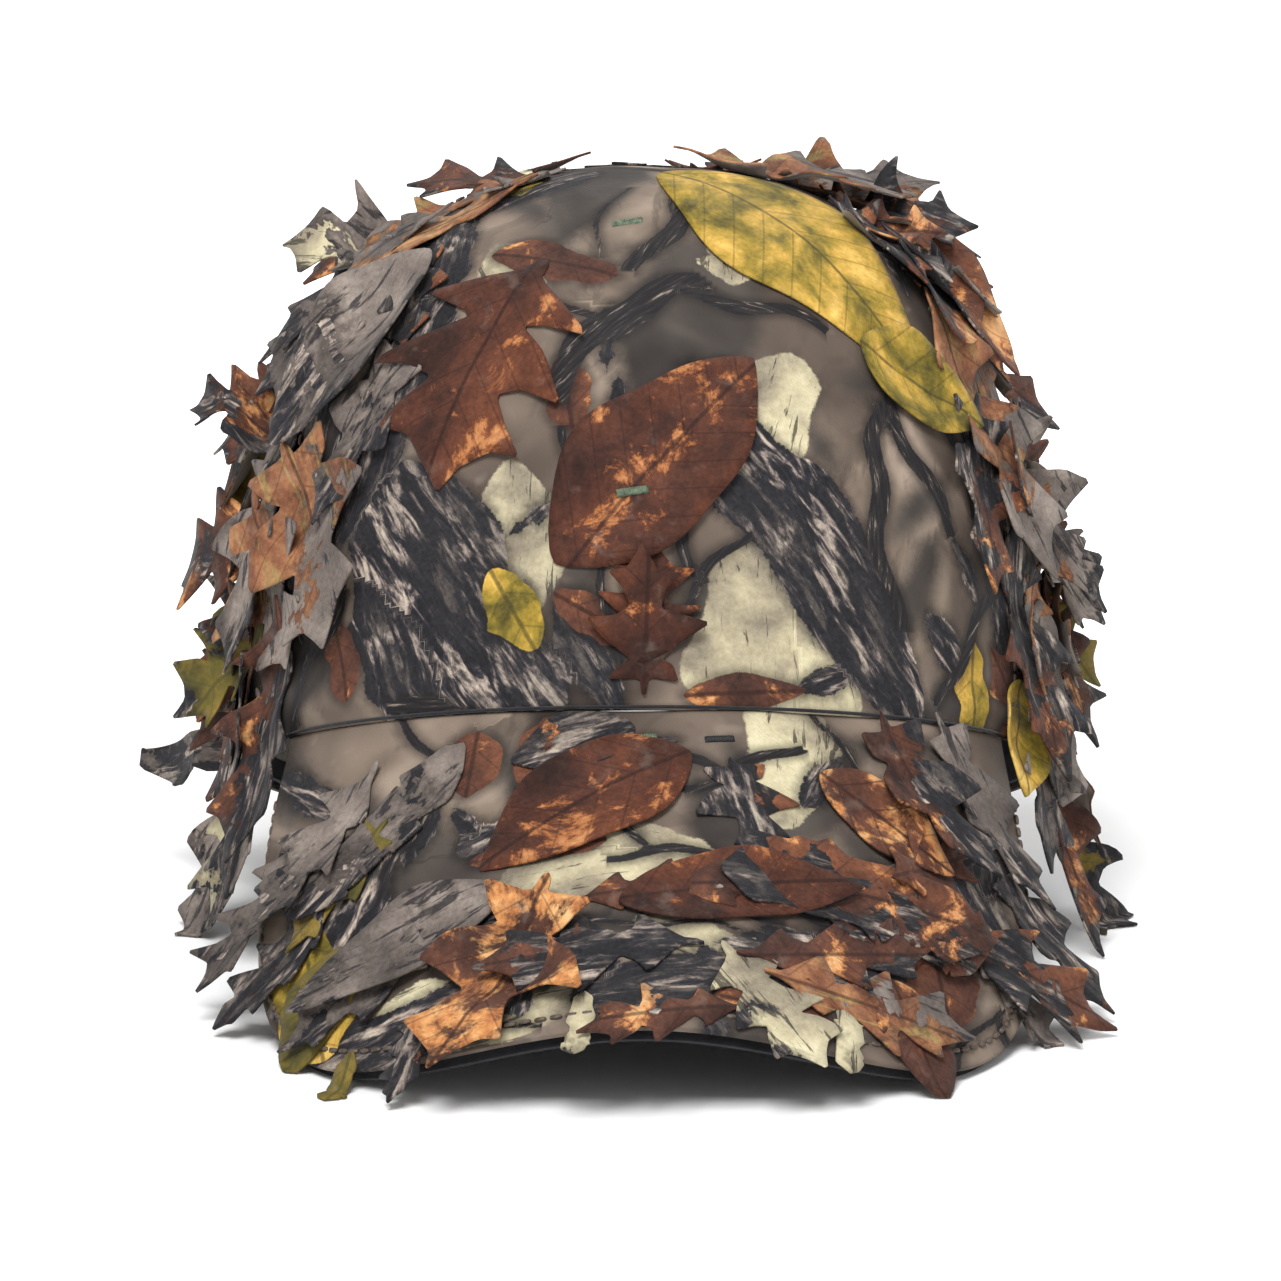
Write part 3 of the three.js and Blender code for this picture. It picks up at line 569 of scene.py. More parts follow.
class Graph:
    """A material's nodes, made by calls that take values or other nodes' outputs as inputs."""

    def __init__(self, name, **settings):
        self.material = bpy.data.materials.new(name)
        self.material.use_nodes = True
        self.tree = self.material.node_tree
        self.tree.nodes.clear()
        self.shader = self.add("ShaderNodeBsdfPrincipled")
        output = self.add("ShaderNodeOutputMaterial")
        self.tree.links.new(self.shader.outputs[0], output.inputs[0])
        for key, value in settings.items():
            self.shader.inputs[key.replace("_", " ").title().replace("Ior", "IOR")].default_value = value

    def add(self, kind, *inputs, **settings):
        node = self.tree.nodes.new(kind)
        for key, value in settings.items():
            setattr(node, key, value)
        for socket, value in zip(node.inputs, inputs):
            self.put(socket, value)
        return node

    def put(self, socket, value):
        if value is None:
            return
        if isinstance(value, bpy.types.NodeSocket):
            self.tree.links.new(value, socket)
        else:
            socket.default_value = value

    def math(self, operation, a, b=None, c=None):
        return self.add("ShaderNodeMath", a, b, c, operation=operation).outputs[0]

    def times(self, a, b):
        return self.math("MULTIPLY", a, b)

    def plus(self, a, b):
        return self.math("ADD", a, b)

    def minus(self, a, b):
        return self.math("SUBTRACT", a, b)

    def mix(self, factor, a, b, blend="MIX"):
        node = self.add("ShaderNodeMix", data_type="RGBA", blend_type=blend)
        for name, value in (("Factor_Float", factor), ("A_Color", a), ("B_Color", b)):
            self.put(next(i for i in node.inputs if i.identifier == name), value)
        return next(o for o in node.outputs if o.identifier == "Result_Color")

    def between(self, value, low, high):
        """0 where value is under low, 1 over high, and smooth between."""
        node = self.add("ShaderNodeMapRange", interpolation_type="SMOOTHSTEP")
        for socket, number in zip(node.inputs, (value, low, high, 0.0, 1.0)):
            self.put(socket, number)
        return node.outputs[0]

    def noise(self, vector, scale, detail=3.0, roughness=0.5, distortion=0.0):
        node = self.add("ShaderNodeTexNoise")
        names = ("Vector", "Scale", "Detail", "Roughness", "Distortion")
        for name, value in zip(names, (vector, scale, detail, roughness, distortion)):
            self.put(node.inputs[name], value)
        return node.outputs[0]

    def ramp(self, factor, *stops):
        node = self.add("ShaderNodeValToRGB", factor)
        ramp = node.color_ramp
        while len(ramp.elements) < len(stops):
            ramp.elements.new(0.5)
        for element, (position, color) in zip(ramp.elements, stops):
            element.position = position
            element.color = rgb(color)
        return node.outputs[0]

    def vector(self, x, y, z=0.0):
        return self.add("ShaderNodeCombineXYZ", x, y, z).outputs[0]

    def position(self):
        """The place on the piece, in metres."""
        return self.add("ShaderNodeTexCoord").outputs["Object"]

    def layer(self, name):
        """An attribute of four numbers, as separate outputs."""
        source = self.add("ShaderNodeAttribute", attribute_name=name)
        parts = self.add("ShaderNodeSeparateColor", source.outputs["Color"])
        return (*parts.outputs[:3], source.outputs["Alpha"])

    def coordinates(self, name):
        source = self.add("ShaderNodeAttribute", attribute_name=name)
        return self.add("ShaderNodeSeparateXYZ", source.outputs["Vector"]).outputs

    def bump(self, height, strength, distance, under=None):
        node = self.add("ShaderNodeBump")
        self.put(node.inputs["Height"], height)
        node.inputs["Strength"].default_value = strength
        node.inputs["Distance"].default_value = distance
        if under is not None:
            self.put(node.inputs["Normal"], under)
        return node.outputs[0]

    def finish(self, color, normal=None, roughness=None):
        self.put(self.shader.inputs["Base Color"], color)
        self.put(self.shader.inputs["Normal"], normal)
        self.put(self.shader.inputs["Roughness"], roughness)
        return self.material


CLOTH_FINISH = dict(specular_ior_level=0.16, sheen_weight=0.04, sheen_roughness=0.5)
TWILL_PITCH = 0.0007


def twill(g, scale=1.0):
    """The height of a fine diagonal weave, and of the cloth's own slight unevenness."""
    x, y, z = g.add("ShaderNodeSeparateXYZ", g.position()).outputs
    pitch = 2 * math.pi / (TWILL_PITCH * scale)
    one = g.math("SINE", g.times(g.plus(x, z), pitch))
    two = g.math("SINE", g.times(g.minus(z, g.times(y, 0.8)), pitch * 0.62))
    uneven = g.bump(g.noise(g.position(), 90, 4, 0.6), 0.35, 0.002)
    return g.bump(g.times(one, two), 0.10, 0.0003, uneven)


def cloth_roughness(g):
    return g.add("ShaderNodeMapRange", g.noise(g.position(), 60, 3), 0.3, 0.7, 0.62, 0.82).outputs[0]


# An ink's place in its motif is how far along and across it, in millimetres, and the motif's tone, 0 to 1.


def streaks(g, place, length, width):
    """A value that varies slowly along a motif and quickly across it, as bark does."""
    along, across, tone = place
    point = g.vector(g.math("DIVIDE", along, length), g.math("DIVIDE", across, width), g.times(tone, 40))
    return g.noise(point, 1.0, 5, 0.62, 0.6)


def spread(g, place, scale, detail=4.0, roughness=0.6):
    """Noise over a motif, different on each."""
    along, across, tone = place
    return g.noise(g.vector(along, across, g.times(tone, 90)), scale, detail, roughness, 0.4)


def one_side(g, place, low, high):
    """1 on one side of a motif and 0 on the other. Which side it is, and how sharply, goes by the tone."""
    return g.between(g.times(place[1], g.minus(place[2], 0.5)), low, high)


def veined(g, place, color, dark, amount=0.7, spacing=8.5, sweep=0.9):
    """A colour with a leaf's midrib and side veins over it."""
    along, across, _ = place
    return g.mix(g.times(veins(g, along, across, spacing, sweep), amount), color, rgb(dark))


def veins(g, along, across, spacing=8.5, sweep=0.9):
    """1 on a leaf's midrib and side veins, 0 between them."""
    off = g.math("ABSOLUTE", across)
    rib = g.between(off, 0.7, 0.2)
    phase = g.math("DIVIDE", g.minus(along, g.times(off, sweep)), spacing)
    side = g.math("ABSOLUTE", g.minus(g.math("FRACT", phase), 0.5))
    return g.math("MAXIMUM", rib, g.times(g.between(side, 0.05, 0.015), 0.55))


def grain(g, color, amount=0.3):
    """The fine grain of the print."""
    value = g.noise(g.position(), 900, 3, 0.7)
    return g.mix(amount, color, g.ramp(value, (0.3, "000000"), (0.7, "ffffff")), "SOFT_LIGHT")


def brown_ink(g, place):
    blotch = spread(g, place, 0.08)
    base = g.ramp(blotch, (0.3, "2b1c18"), (0.45, "452c24"), (0.58, "5a382b"), (0.72, "6a4433"))
    # One half of the leaf is in the light, and light catches its blade in patches.
    lit = one_side(g, place, -1.0, 4.0)
    base = g.mix(g.times(lit, 0.55), base, g.ramp(blotch, (0.35, "5e3829"), (0.65, "8a5639")))
    patches = g.plus(spread(g, place, 0.075, 7, 0.7), g.times(lit, 0.05))
    glow = g.ramp(patches, (0.56, "8f5634"), (0.62, "c08350"), (0.69, "dba873"))
    base = g.mix(g.times(g.between(patches, 0.555, 0.64), 0.9), base, glow)
    return grain(g, veined(g, place, base, "2c1a16"))


def gold_ink(g, place):
    stops = (0.3, "3a3418"), (0.40, "665a22"), (0.5, "957d2f"), (0.6, "c09a46"), (0.7, "dab763")
    base = g.ramp(spread(g, place, 0.07), *stops)
    return grain(g, veined(g, place, base, "39341a", spacing=8.0, sweep=0.7))


def olive_ink(g, place):
    return g.mix(0.68, gold_ink(g, place), rgb("4a4726"))


def ember_ink(g, place):
    """A brown leaf with much of its blade lit orange."""
    blade = g.between(spread(g, place, 0.07, 6, 0.68), 0.46, 0.56)
    lit = g.ramp(spread(g, place, 0.2, 5, 0.7), (0.35, "9a5b36"), (0.5, "c98a52"), (0.65, "e2b27a"))
    return veined(g, place, g.mix(g.times(blade, 0.92), brown_ink(g, place), lit), "3a2119", 0.8)


def tan_ink(g, place):
    stops = (0.32, "563626"), (0.44, "7a4f38"), (0.55, "966848"), (0.66, "b58a60"), (0.75, "c9a87c")
    base = g.ramp(spread(g, place, 0.07, 5, 0.65), *stops)
    streak = g.between(streaks(g, place, 22.0, 3.0), 0.56, 0.63)
    return grain(g, veined(g, place, g.mix(g.times(streak, 0.6), base, rgb("8f8150")), "3a2219"))


def bark_ink(g, place):
    stops = (0.42, "1c1b1e"), (0.49, "302e33"), (0.53, "5f5651"), (0.59, "a3948a"), (0.7, "cfc2ac")
    ridges = g.ramp(streaks(g, place, 10.0, 2.5), *stops)
    coarse = g.between(streaks(g, place, 24.0, 8.0), 0.44, 0.56)
    hidden = g.times(g.math("MAXIMUM", coarse, g.times(one_side(g, place, -3.0, 3.0), 0.75)), 0.9)
    return grain(g, g.mix(hidden, ridges, rgb("242326")), 0.4)


def pale_ink(g, place):
    stops = (0.3, "675f54"), (0.43, "978d77"), (0.54, "bdb393"), (0.68, "d2c9a8")
    base = g.ramp(spread(g, place, 0.05, 3, 0.5), *stops)
    scratches = g.plus(streaks(g, place, 12.0, 1.9), g.times(one_side(g, place, 0.0, 5.0), 0.17))
    return grain(g, g.mix(g.times(g.between(scratches, 0.6, 0.66), 0.85), base, rgb("38342f")), 0.25)


def grey_ink(g, place):
    base = g.ramp(spread(g, place, 0.05, 3, 0.5), (0.3, "4a433f"), (0.5, "6c625c"), (0.7, "9a8e84"))
    scratch = g.between(streaks(g, place, 14.0, 2.6), 0.55, 0.61)
    return grain(g, g.mix(g.times(scratch, 0.85), base, rgb("242226")))


def twig_ink(g, place):
    return g.ramp(streaks(g, place, 8.0, 0.9), (0.45, "1d1b1d"), (0.6, "2f2b2b"), (0.68, "85796e"))


def mist_ink(g, place):
    base = g.ramp(spread(g, place, 0.05, 3, 0.5), (0.3, "574b42"), (0.5, "7b6d60"), (0.7, "a08f80"))
    smears = g.between(streaks(g, place, 16.0, 7.0), 0.52, 0.66)
    return g.mix(g.times(smears, 0.55), base, rgb("463c35"))


def murk_ink(g, place):
    return g.ramp(spread(g, place, 0.05, 2, 0.4), (0.3, "2e2927"), (0.5, "403a36"), (0.7, "574f49"))


# Each ink of the print, and how softly and how raggedly it ends, in millimetres.
INK_LOOKS = {
    "mist": (mist_ink, 2.6, 1.5),
    "murk": (murk_ink, 3.2, 2.0),
    "pale": (pale_ink, 0.35, 1.8),
    "bark": (bark_ink, 0.2, 2.4),
    "brown": (brown_ink, 0.14, 0.7),
    "gold": (gold_ink, 0.14, 0.6),
    "twig": (twig_ink, 0.2, 0.7),
}
SHARP = 0.3


def printed_cloth():
    """The woodland print: blurred grey-brown foliage with sharp printed bark, branches and leaves over it."""
    g = Graph("printed_cloth", **CLOTH_FINISH)
    place = g.position()
    stops = (0.3, "372f2a"), (0.42, "51463e"), (0.54, "695c52"), (0.66, "837467"), (0.78, "9b8b7c")
    color = g.ramp(g.noise(place, 30, 2, 0.4, 0.5), *stops)
    spots = g.between(g.noise(place, 110, 2, 0.5), 0.6, 0.72)
    color = g.mix(g.times(spots, 0.3), color, rgb("978a7d"))
    smudges = g.between(g.noise(place, 62, 3, 0.6, 0.8), 0.55, 0.66)
    color = g.mix(g.times(smudges, 0.32), color, rgb("3d3530"))
    for name in INKS:
        ink, soft, rough = INK_LOOKS[name]
        depth, *motif = g.layer("ink_" + name)
        ragged = g.minus(g.noise(g.vector(*motif), 0.7, 4, 0.65), 0.5)
        depth = g.plus(depth, g.times(ragged, rough))
        if soft < SHARP:
            # A thin shadow runs round the sharp inks.
            color = g.mix(g.times(g.between(depth, -2.6, 0.3), 0.6), color, rgb("191615"))
        color = g.mix(g.between(depth, -soft, soft), color, ink(g, motif))
    return g.finish(color, twill(g), cloth_roughness(g))


def leaf_cloth(name, ink, other=None, shade=None):
    """A die-cut leaf's cloth: an ink of the print, with another across part of it, as the cut fell on it."""
    g = Graph("leaf_" + name, **CLOTH_FINISH)
    along, across, tone = place = g.coordinates("leaf")
    color = ink(g, place)
    if shade:
        color = g.mix(0.5, color, rgb(shade), "MULTIPLY")
    if other:
        cut = g.math("MULTIPLY_ADD", across, g.minus(tone, 0.5), g.times(along, 0.16))
        wander = g.times(spread(g, place, 0.09, 4, 0.62), 26.0)
        reach = g.plus(g.plus(cut, wander), g.times(tone, 5.0))
        color = g.mix(g.times(g.between(reach, 18.5, 21.4), 0.5), color, rgb("1d1917"))
        color = g.mix(g.between(reach, 21.2, 21.8), color, other(g, (along, across, g.plus(tone, 0.3))))
    worn = g.between(g.noise(g.vector(*place), 0.16, 4, 0.6), 0.56, 0.76)
    color = g.mix(g.times(worn, 0.16), color, rgb("9c8f84"))
    relief = g.bump(veins(g, along, across), 0.12, 0.0004, twill(g))
    return g.finish(color, relief, cloth_roughness(g))


def plain_cloth(name, low, high, scale=1.0, roughness=0.85):
    g = Graph(name, roughness=roughness, specular_ior_level=0.2, sheen_weight=0.2)
    value = g.noise(g.position(), 240, 3, 0.6)
    return g.finish(g.ramp(value, (0.3, low), (0.7, high)), twill(g, scale))


def thread(name, low, high):
    g = Graph(name, roughness=0.55, specular_ior_level=0.35)
    return g.finish(g.ramp(g.noise(g.position(), 900, 2), (0.35, low), (0.65, high)))


PRINT = printed_cloth()
# A leaf's ink, the ink across part of it, and what shades it.
LEAF_CLOTHS = {
    "brown": (brown_ink, bark_ink),
    "russet": (brown_ink, None, "b08470"),
    "ember": (ember_ink,),
    "tan": (tan_ink, grey_ink),
    "grey": (grey_ink, bark_ink),
    "ash": (grey_ink, pale_ink),
    "bark": (bark_ink, brown_ink),
    "cream": (pale_ink, bark_ink),
    "gold": (gold_ink,),
    "olive": (olive_ink, bark_ink),
}
LEAF_MATERIALS = {name: leaf_cloth(name, *inks) for name, inks in LEAF_CLOTHS.items()}
BACK = plain_cloth("leaf_back", "6f655c", "8d8276", 1.2)
LINING = plain_cloth("lining", "17171a", "232327")
WRONG_SIDE = plain_cloth("print_wrong_side", "4c4640", "6a6259", 1.2)
TAPE = plain_cloth("seam_tape", "1c1c1e", "2c2c2f", 1.8)
BAND = plain_cloth("sweatband", "202024", "2e2e33", 1.4)
UNDER = plain_cloth("peak_under", "1b1b1e", "29292d", 1.3)
LABEL = plain_cloth("label", "b9b4a2", "cbc6b4", 0.8, 0.6)
LOOP = plain_cloth("loop_tape", "19191b", "303034", 3.0, 0.95)
HOOK = plain_cloth("hook_tape", "141416", "26262a", 2.4, 0.45)
BOARD = plain_cloth("board_plastic", "202225", "26282b", 1.0, 0.5)
METAL = Graph("rivet_metal", metallic=1.0, roughness=0.35, base_color=rgb("8d8a84")).material
THREAD = thread("brown_thread", "453b33", "61554a")
UNDER_THREAD = thread("black_thread", "161616", "262628")
TACK_THREAD = thread("green_thread", "3c4739", "66745f")

# ---------------------------------------------------------------- crown

PANELS = {
    "front_panel": (-150, -30, 168),
    "right_side_panel": (-30, 30, 64),
    "right_back_panel": (30, 90, 64),
    "left_back_panel": (90, 150, 64),
    "left_side_panel": (150, 210, 64),
}


# How far the cloth goes on below the rim, as an angle.
TURNED_UNDER = -0.0035


def lower_edge(theta):
    """The angle up to the crown's lower edge: the rim, and over it the arch of the opening."""
    from_back = np.abs(theta - math.pi / 2) / OPENING_HALF
    return OPENING_RISE * np.sqrt(np.clip(1 - from_back**2, 0, 1))


for name, (low, high, columns) in PANELS.items():
    rows = 150 if name == "front_panel" else 120
    u, v = grid(rows, columns)
    plain = (low + (high - low) * u) * DEG
    edge = lower_edge(plain)
    foot = np.where(edge > 0, edge, TURNED_UNDER)
    phi = foot + (PANEL_TOP - foot) * v
    around = np.linalg.norm(crown(plain, phi), axis=-1) * np.cos(phi)
    theta = np.clip(plain, low * DEG + GAP / 2 / around, high * DEG - GAP / 2 / around)
    from_seam = np.minimum(plain - low * DEG, high * DEG - plain) * around
    surface = crown(theta, phi)
    # The cloth turns in at the seams and the rim, puckers a little there, and is never quite smooth.
    pucker = np.exp(-((from_seam / 7) ** 2)) * 0.22 * np.sin(surface[..., 2] * 0.9 + 0.3 * surface[..., 0])
    out = -0.7 * np.exp(-((from_seam / 1.3) ** 2)) + pucker
    ends = 1 - np.exp(-(((phi - edge) * RIM_HALF_LENGTH / 2.5) ** 2)) * 0.5
    out = (out + crown_waves(surface)) * ends
    attributes = crown_print(surface)
    outer, inner = crown(theta, phi, out), crown(theta, phi, out - CLOTH)
    panel = slab(name, outer, inner, [PRINT, WRONG_SIDE], attributes=attributes)
    dress(panel, name)
    sewn_sheet(outer)

LINING_OUT = -CLOTH - SLACK
BAND_TOP, BACKING, TAPE_CLOTH, BAND_CLOTH = 30.0, 0.8, 0.8, 1.4
LABEL_WIDTH, LABEL_CLOTH, LABEL_AT = 26.0, 0.5, 165 * DEG
TAPES = (TAPE, "seam_tape")


def lining(name, cloth, size, place, out, thickness, ripple, body="cap"):
    """A sheet on the crown, whose place gives directions for its width and height. Size counts its faces."""
    material, slot = cloth
    columns, rows = size
    theta, phi = place(*grid(rows, columns))
    out = out(theta) if callable(out) else out
    surface = crown(theta, phi)
    wave = ripple * waves(surface, 14, len(name))
    outer, inner = crown(theta, phi, out + wave), crown(theta, phi, out - thickness + wave)
    attributes = crown_print(surface) if material is PRINT else None
    obj = slab(name, outer, inner, [material], body, attributes)
    dress(obj, name)
    sewn_sheet(outer)


def backing_place(u, v):
    theta = (-143 + 106 * u) * DEG
    low = angle_at(theta, BAND_TOP + GAP)
    return theta, low + (76 * DEG - low) * v


backing = (LINING, "buckram")
lining("front_backing", backing, (60, 40), backing_place, LINING_OUT, BACKING, 0.08)

TAPE_WIDTH, TAPE_TIP = 12, 0.28
SEAMS = {"right_temple": -30, "right_side": 30, "back": 90, "left_side": 150, "left_temple": 210}
BINDING_WIDTH = 6.0
OVER_OPENING = OPENING_RISE + (BINDING_WIDTH + GAP * 2) / RIM_HALF_LENGTH


def tape_place(degrees):
    seam = degrees * DEG

    def place(u, v):
        low = OVER_OPENING if degrees == 90 else angle_at(seam, BAND_TOP + GAP)
        phi = low + (84 * DEG - low) * v
        width = TAPE_WIDTH * (1 + (TAPE_TIP - 1) * smooth(v * 2 - 1))
        return seam + (u - 0.5) * width / (np.linalg.norm(crown(seam, phi), axis=-1) * np.cos(phi)), phi

    return place


def band_place(low, high, bottom, top):
    def place(u, v):
        theta = low + (high - low) * u
        return theta, angle_at(theta, bottom + (top - bottom) * v)

    return place


def binding_place(u, v):
    turn = -0.97 + 1.94 * u
    edge = OPENING_RISE * np.sqrt(1 - turn**2)
    return math.pi / 2 + OPENING_HALF * turn, edge + (GAP + v * BINDING_WIDTH) / RIM_HALF_LENGTH


for seam_name, degrees in SEAMS.items():
    panel = "front_panel" if "temple" in seam_name else "left_back_panel"
    lining("seam_tape_" + seam_name, TAPES, (8, 90), tape_place(degrees), LINING_OUT, TAPE_CLOTH, 0.07)
band = band_place(120 * DEG, 420 * DEG, 1.0, BAND_TOP)
band_cloth = (BAND, "sweatband_cloth")
lining("sweatband", band_cloth, (260, 20), band, LINING_OUT, BAND_CLOTH, 0.22)
half_label = LABEL_WIDTH / 2 / RIM_HALF_WIDTH
label = band_place(LABEL_AT - half_label, LABEL_AT + half_label, 6, 24)
label_out = LINING_OUT - BAND_CLOTH - GAP
lining("care_label", (LABEL, "label_cloth"), (20, 14), label, label_out, LABEL_CLOTH, 0.05)
lining("opening_binding", TAPES, (90, 6), binding_place, LINING_OUT, TAPE_CLOTH, 0.04)

# ---------------------------------------------------------------- closure

STRAP, PATCH = 1.2, 0.7
LOOP_LEVEL = SLACK + STRAP + GAP
HOOK_PATCH_LEVEL = LOOP_LEVEL + PATCH + GAP
HOOK_LEVEL = HOOK_PATCH_LEVEL + PATCH + GAP


def hook_out(theta):
    """How far out the hook strap lies: over the loop strap, then down to the crown where it is sewn."""
    drop = smooth((theta - 102 * DEG) / (18 * DEG))
    return HOOK_LEVEL + (SLACK - HOOK_LEVEL) * drop + STRAP


loop_place = band_place(50 * DEG, 102 * DEG, 2, 24)
hook_place = band_place(70 * DEG, 130 * DEG, 5, 23)
patch_place = band_place(72 * DEG, 101 * DEG, 7, 21)
cloth, loops, hooks = (PRINT, "printed_cloth"), (LOOP, "loop_tape"), (HOOK, "hook_tape")
lining("loop_strap", cloth, (70, 20), loop_place, SLACK + STRAP, STRAP, 0.05)
lining("loop_patch", loops, (50, 20), patch_place, LOOP_LEVEL + PATCH, PATCH, 0.05)
hook_patch_out = HOOK_PATCH_LEVEL + PATCH
lining("hook_patch", hooks, (50, 20), patch_place, hook_patch_out, PATCH, 0.0, "hook_strap")
lining("hook_strap", cloth, (90, 20), hook_place, hook_out, STRAP, 0.05, "hook_strap")

# ---------------------------------------------------------------- button

TOP_HEIGHT = crown(0.0, PANEL_TOP)[2]
# The button's outline: radii and heights, from its foot to the middle of its top.
BUTTON_OUTLINE = np.array(
    [
        [2.7, 7.2, 8.6, BUTTON_RADIUS, 8.8, 7.6, 5.6, 3.0, 0.0],
        [0.0, 0.0, 0.6, 1.2, 2.1, 3.1, 3.9, 4.35, 4.5],
    ]
)
BUTTON_FOLDS, FOLD_DEPTH = 12, 0.12


def button():
    """The cloth-covered button, turned from its outline, with folds that grow towards its rim."""
    count = BUTTON_OUTLINE.shape[1]
    steps = np.linspace(0, count - 1, 40)
    radius, height = [np.interp(steps, range(count), part)[:, None] for part in BUTTON_OUTLINE]
    turns = np.linspace(0, 2 * math.pi, 73)[:-1]
    radius = radius + FOLD_DEPTH * np.cos(turns * BUTTON_FOLDS) * (radius / BUTTON_RADIUS) ** 3
    level = height + TOP_HEIGHT + GAP * 2 + 0 * turns
    shell = np.stack([radius * np.cos(turns), radius * np.sin(turns), level], -1)
    index = np.arange(level.size).reshape(level.shape)
    after = np.roll(index, -1, axis=1)
    faces = np.stack([index[:-1], after[:-1], after[1:], index[1:]], -1).reshape(-1, 4).tolist()
    points = shell.reshape(-1, 3)
    made = piece("top_button", points, faces, [PRINT], attributes=crown_print(points))
    dress(made, "top_button")


button()

# ---------------------------------------------------------------- peak


def peak_sheet(depth, columns, rows, swell=0):
    """s, v and points of a grid that lies some way down in the peak."""
    u, v = grid(rows, columns)
    s, place = 2 * u - 1, 1 - v
    return s, place, on_peak(s, place, -depth + swell * peak_waves(peak_top(s, place)))


PEAK_CLOTH, PEAK_BOARD = 1.0, 1.8
UNDER_DEPTH = PEAK_CLOTH + GAP + PEAK_BOARD + GAP
s, v, outer = peak_sheet(0.0, 190, 90, 1)
down = v * np.linalg.norm(peak_top(s, 0.0) - peak_top(s, 1.0), axis=-1)
PEAK_PLACES = [(-64 + 26 * i, 12 + 22 * j) for i in range(6) for j in range(4)]
PEAK_MOTIFS = PEAK_PRINT + filler_print(8, PEAK_PLACES)
attributes = ink_layers(s.shape, PEAK_MOTIFS, peak_offsets(peak_top(s, v)[..., 0], down), PEAK_TONES)
inner = on_peak(s, v, np.full(s.shape, -PEAK_CLOTH))
cover = slab("peak_top_cover", outer, inner, [PRINT, WRONG_SIDE], attributes=attributes)
dress(cover, "peak_top_cover")
sewn_sheet(outer)

# The under cover sinks a little along each row of its stitches.
UNDER_ROWS = 9
s, v, outer = peak_sheet(UNDER_DEPTH + 0.05, 90, 60)
row_gap = np.abs((v * UNDER_ROWS) % 1 - 0.5) * 2
groove = 0.35 * np.exp(-(((1 - row_gap) * 5) ** 2))
inner = on_peak(s, v, -UNDER_DEPTH - PEAK_CLOTH + groove)
under = slab("peak_under_cover", outer, inner, [UNDER])
dress(under, "peak_under_cover")
sewn_sheet(outer)

for node, material in (("peak_board", BOARD), ("button_rivet", METAL)):
    for holder in frame["nodes"][node].material_slots:
        holder.material = material

# ---------------------------------------------------------------- leaves


TABLE_CLEARANCE = 0.0008
AT_THE_TACK = 0.45
LEAF_CLOTH = 0.0005
MOST_LEAN = 9
LEAF_STEP = 2.1
LEAST_FILLED = 0.3


def leaf_flat(kind, length, width, tack, rng):
    """A leaf's flat outline and its triangles, in millimetres from its tack."""
    outline = round_off(leaf_outline(kind, rng), 0.13) * [length, width] - [length * tack, 0]
    border = densify(outline, LEAF_STEP * 0.8)
    low, high = border.min(0), border.max(0)
    x, y = np.meshgrid(np.arange(low[0], high[0], LEAF_STEP), np.arange(low[1], high[1], LEAF_STEP * 0.87))
    x = x + (np.arange(x.shape[0]) % 2)[:, None] * LEAF_STEP / 2
    keep = signed_distance(x.ravel(), y.ravel(), outline) > LEAF_STEP * 0.6
    inner = np.stack([x.ravel()[keep], y.ravel()[keep]], -1)
    points = [Vector(p) for p in np.concatenate([border, inner]).tolist()]
    edges = [(i, (i + 1) % len(border)) for i in range(len(border))]
    found = geometry.delaunay_2d_cdt(points, edges, [], 1, 1e-5)
    return np.array([list(p) for p in found[0]]), [list(f) for f in found[2]]


def turned(along, across, turn):
    """Offsets right and up of places along and across something turned by some degrees."""
    c, s = math.cos(turn * DEG), math.sin(turn * DEG)
    return along * c - across * s, along * s + across * c


def rearward(at, right, up):
    """How far flat offsets from a tack on the crown go towards the back of the cap."""
    _, e, n = tangent_frame(at[0] * DEG, at[1] * DEG)
    return right * e[1] + up * n[1]


def leaf_lift(along, across, layer, curl, rng):
    """How far a leaf stands off: by its layer, more at its ends, folded up beside its midrib, and rippled."""
    distance = np.hypot(along, across)
    lift = AT_THE_TACK + layer * 1.5 * smooth((distance - 4) / 12) + curl * (distance / 30) ** 2
    lift = lift + rng.uniform(0.2, 1.4) * (np.abs(across) / 12) ** 1.6 * smooth(distance / 12)
    ripple = np.sin(along / rng.uniform(5, 8) + rng.uniform(0, 6) + 1.3 * np.sign(across))
    fullness = smooth((np.abs(across) - 2) / 10) * (0.4 + 0.2 * curl)
    return lift + rng.uniform(0.3, 0.9) * (1 + ripple) / 2 * fullness


def leaf_sheet(flat, faces):
    """Measures a leaf's flat cut, its area and its box, and does nothing more."""
    area = sum(abs(np.cross(flat[f[1]] - flat[f[0]], flat[f[2]] - flat[f[0]])) / 2 for f in faces)
    box = np.ptp(flat, axis=0)
    if area < LEAST_FILLED * box[0] * box[1] or min(box) <= NARROWEST_SHEET:
        return


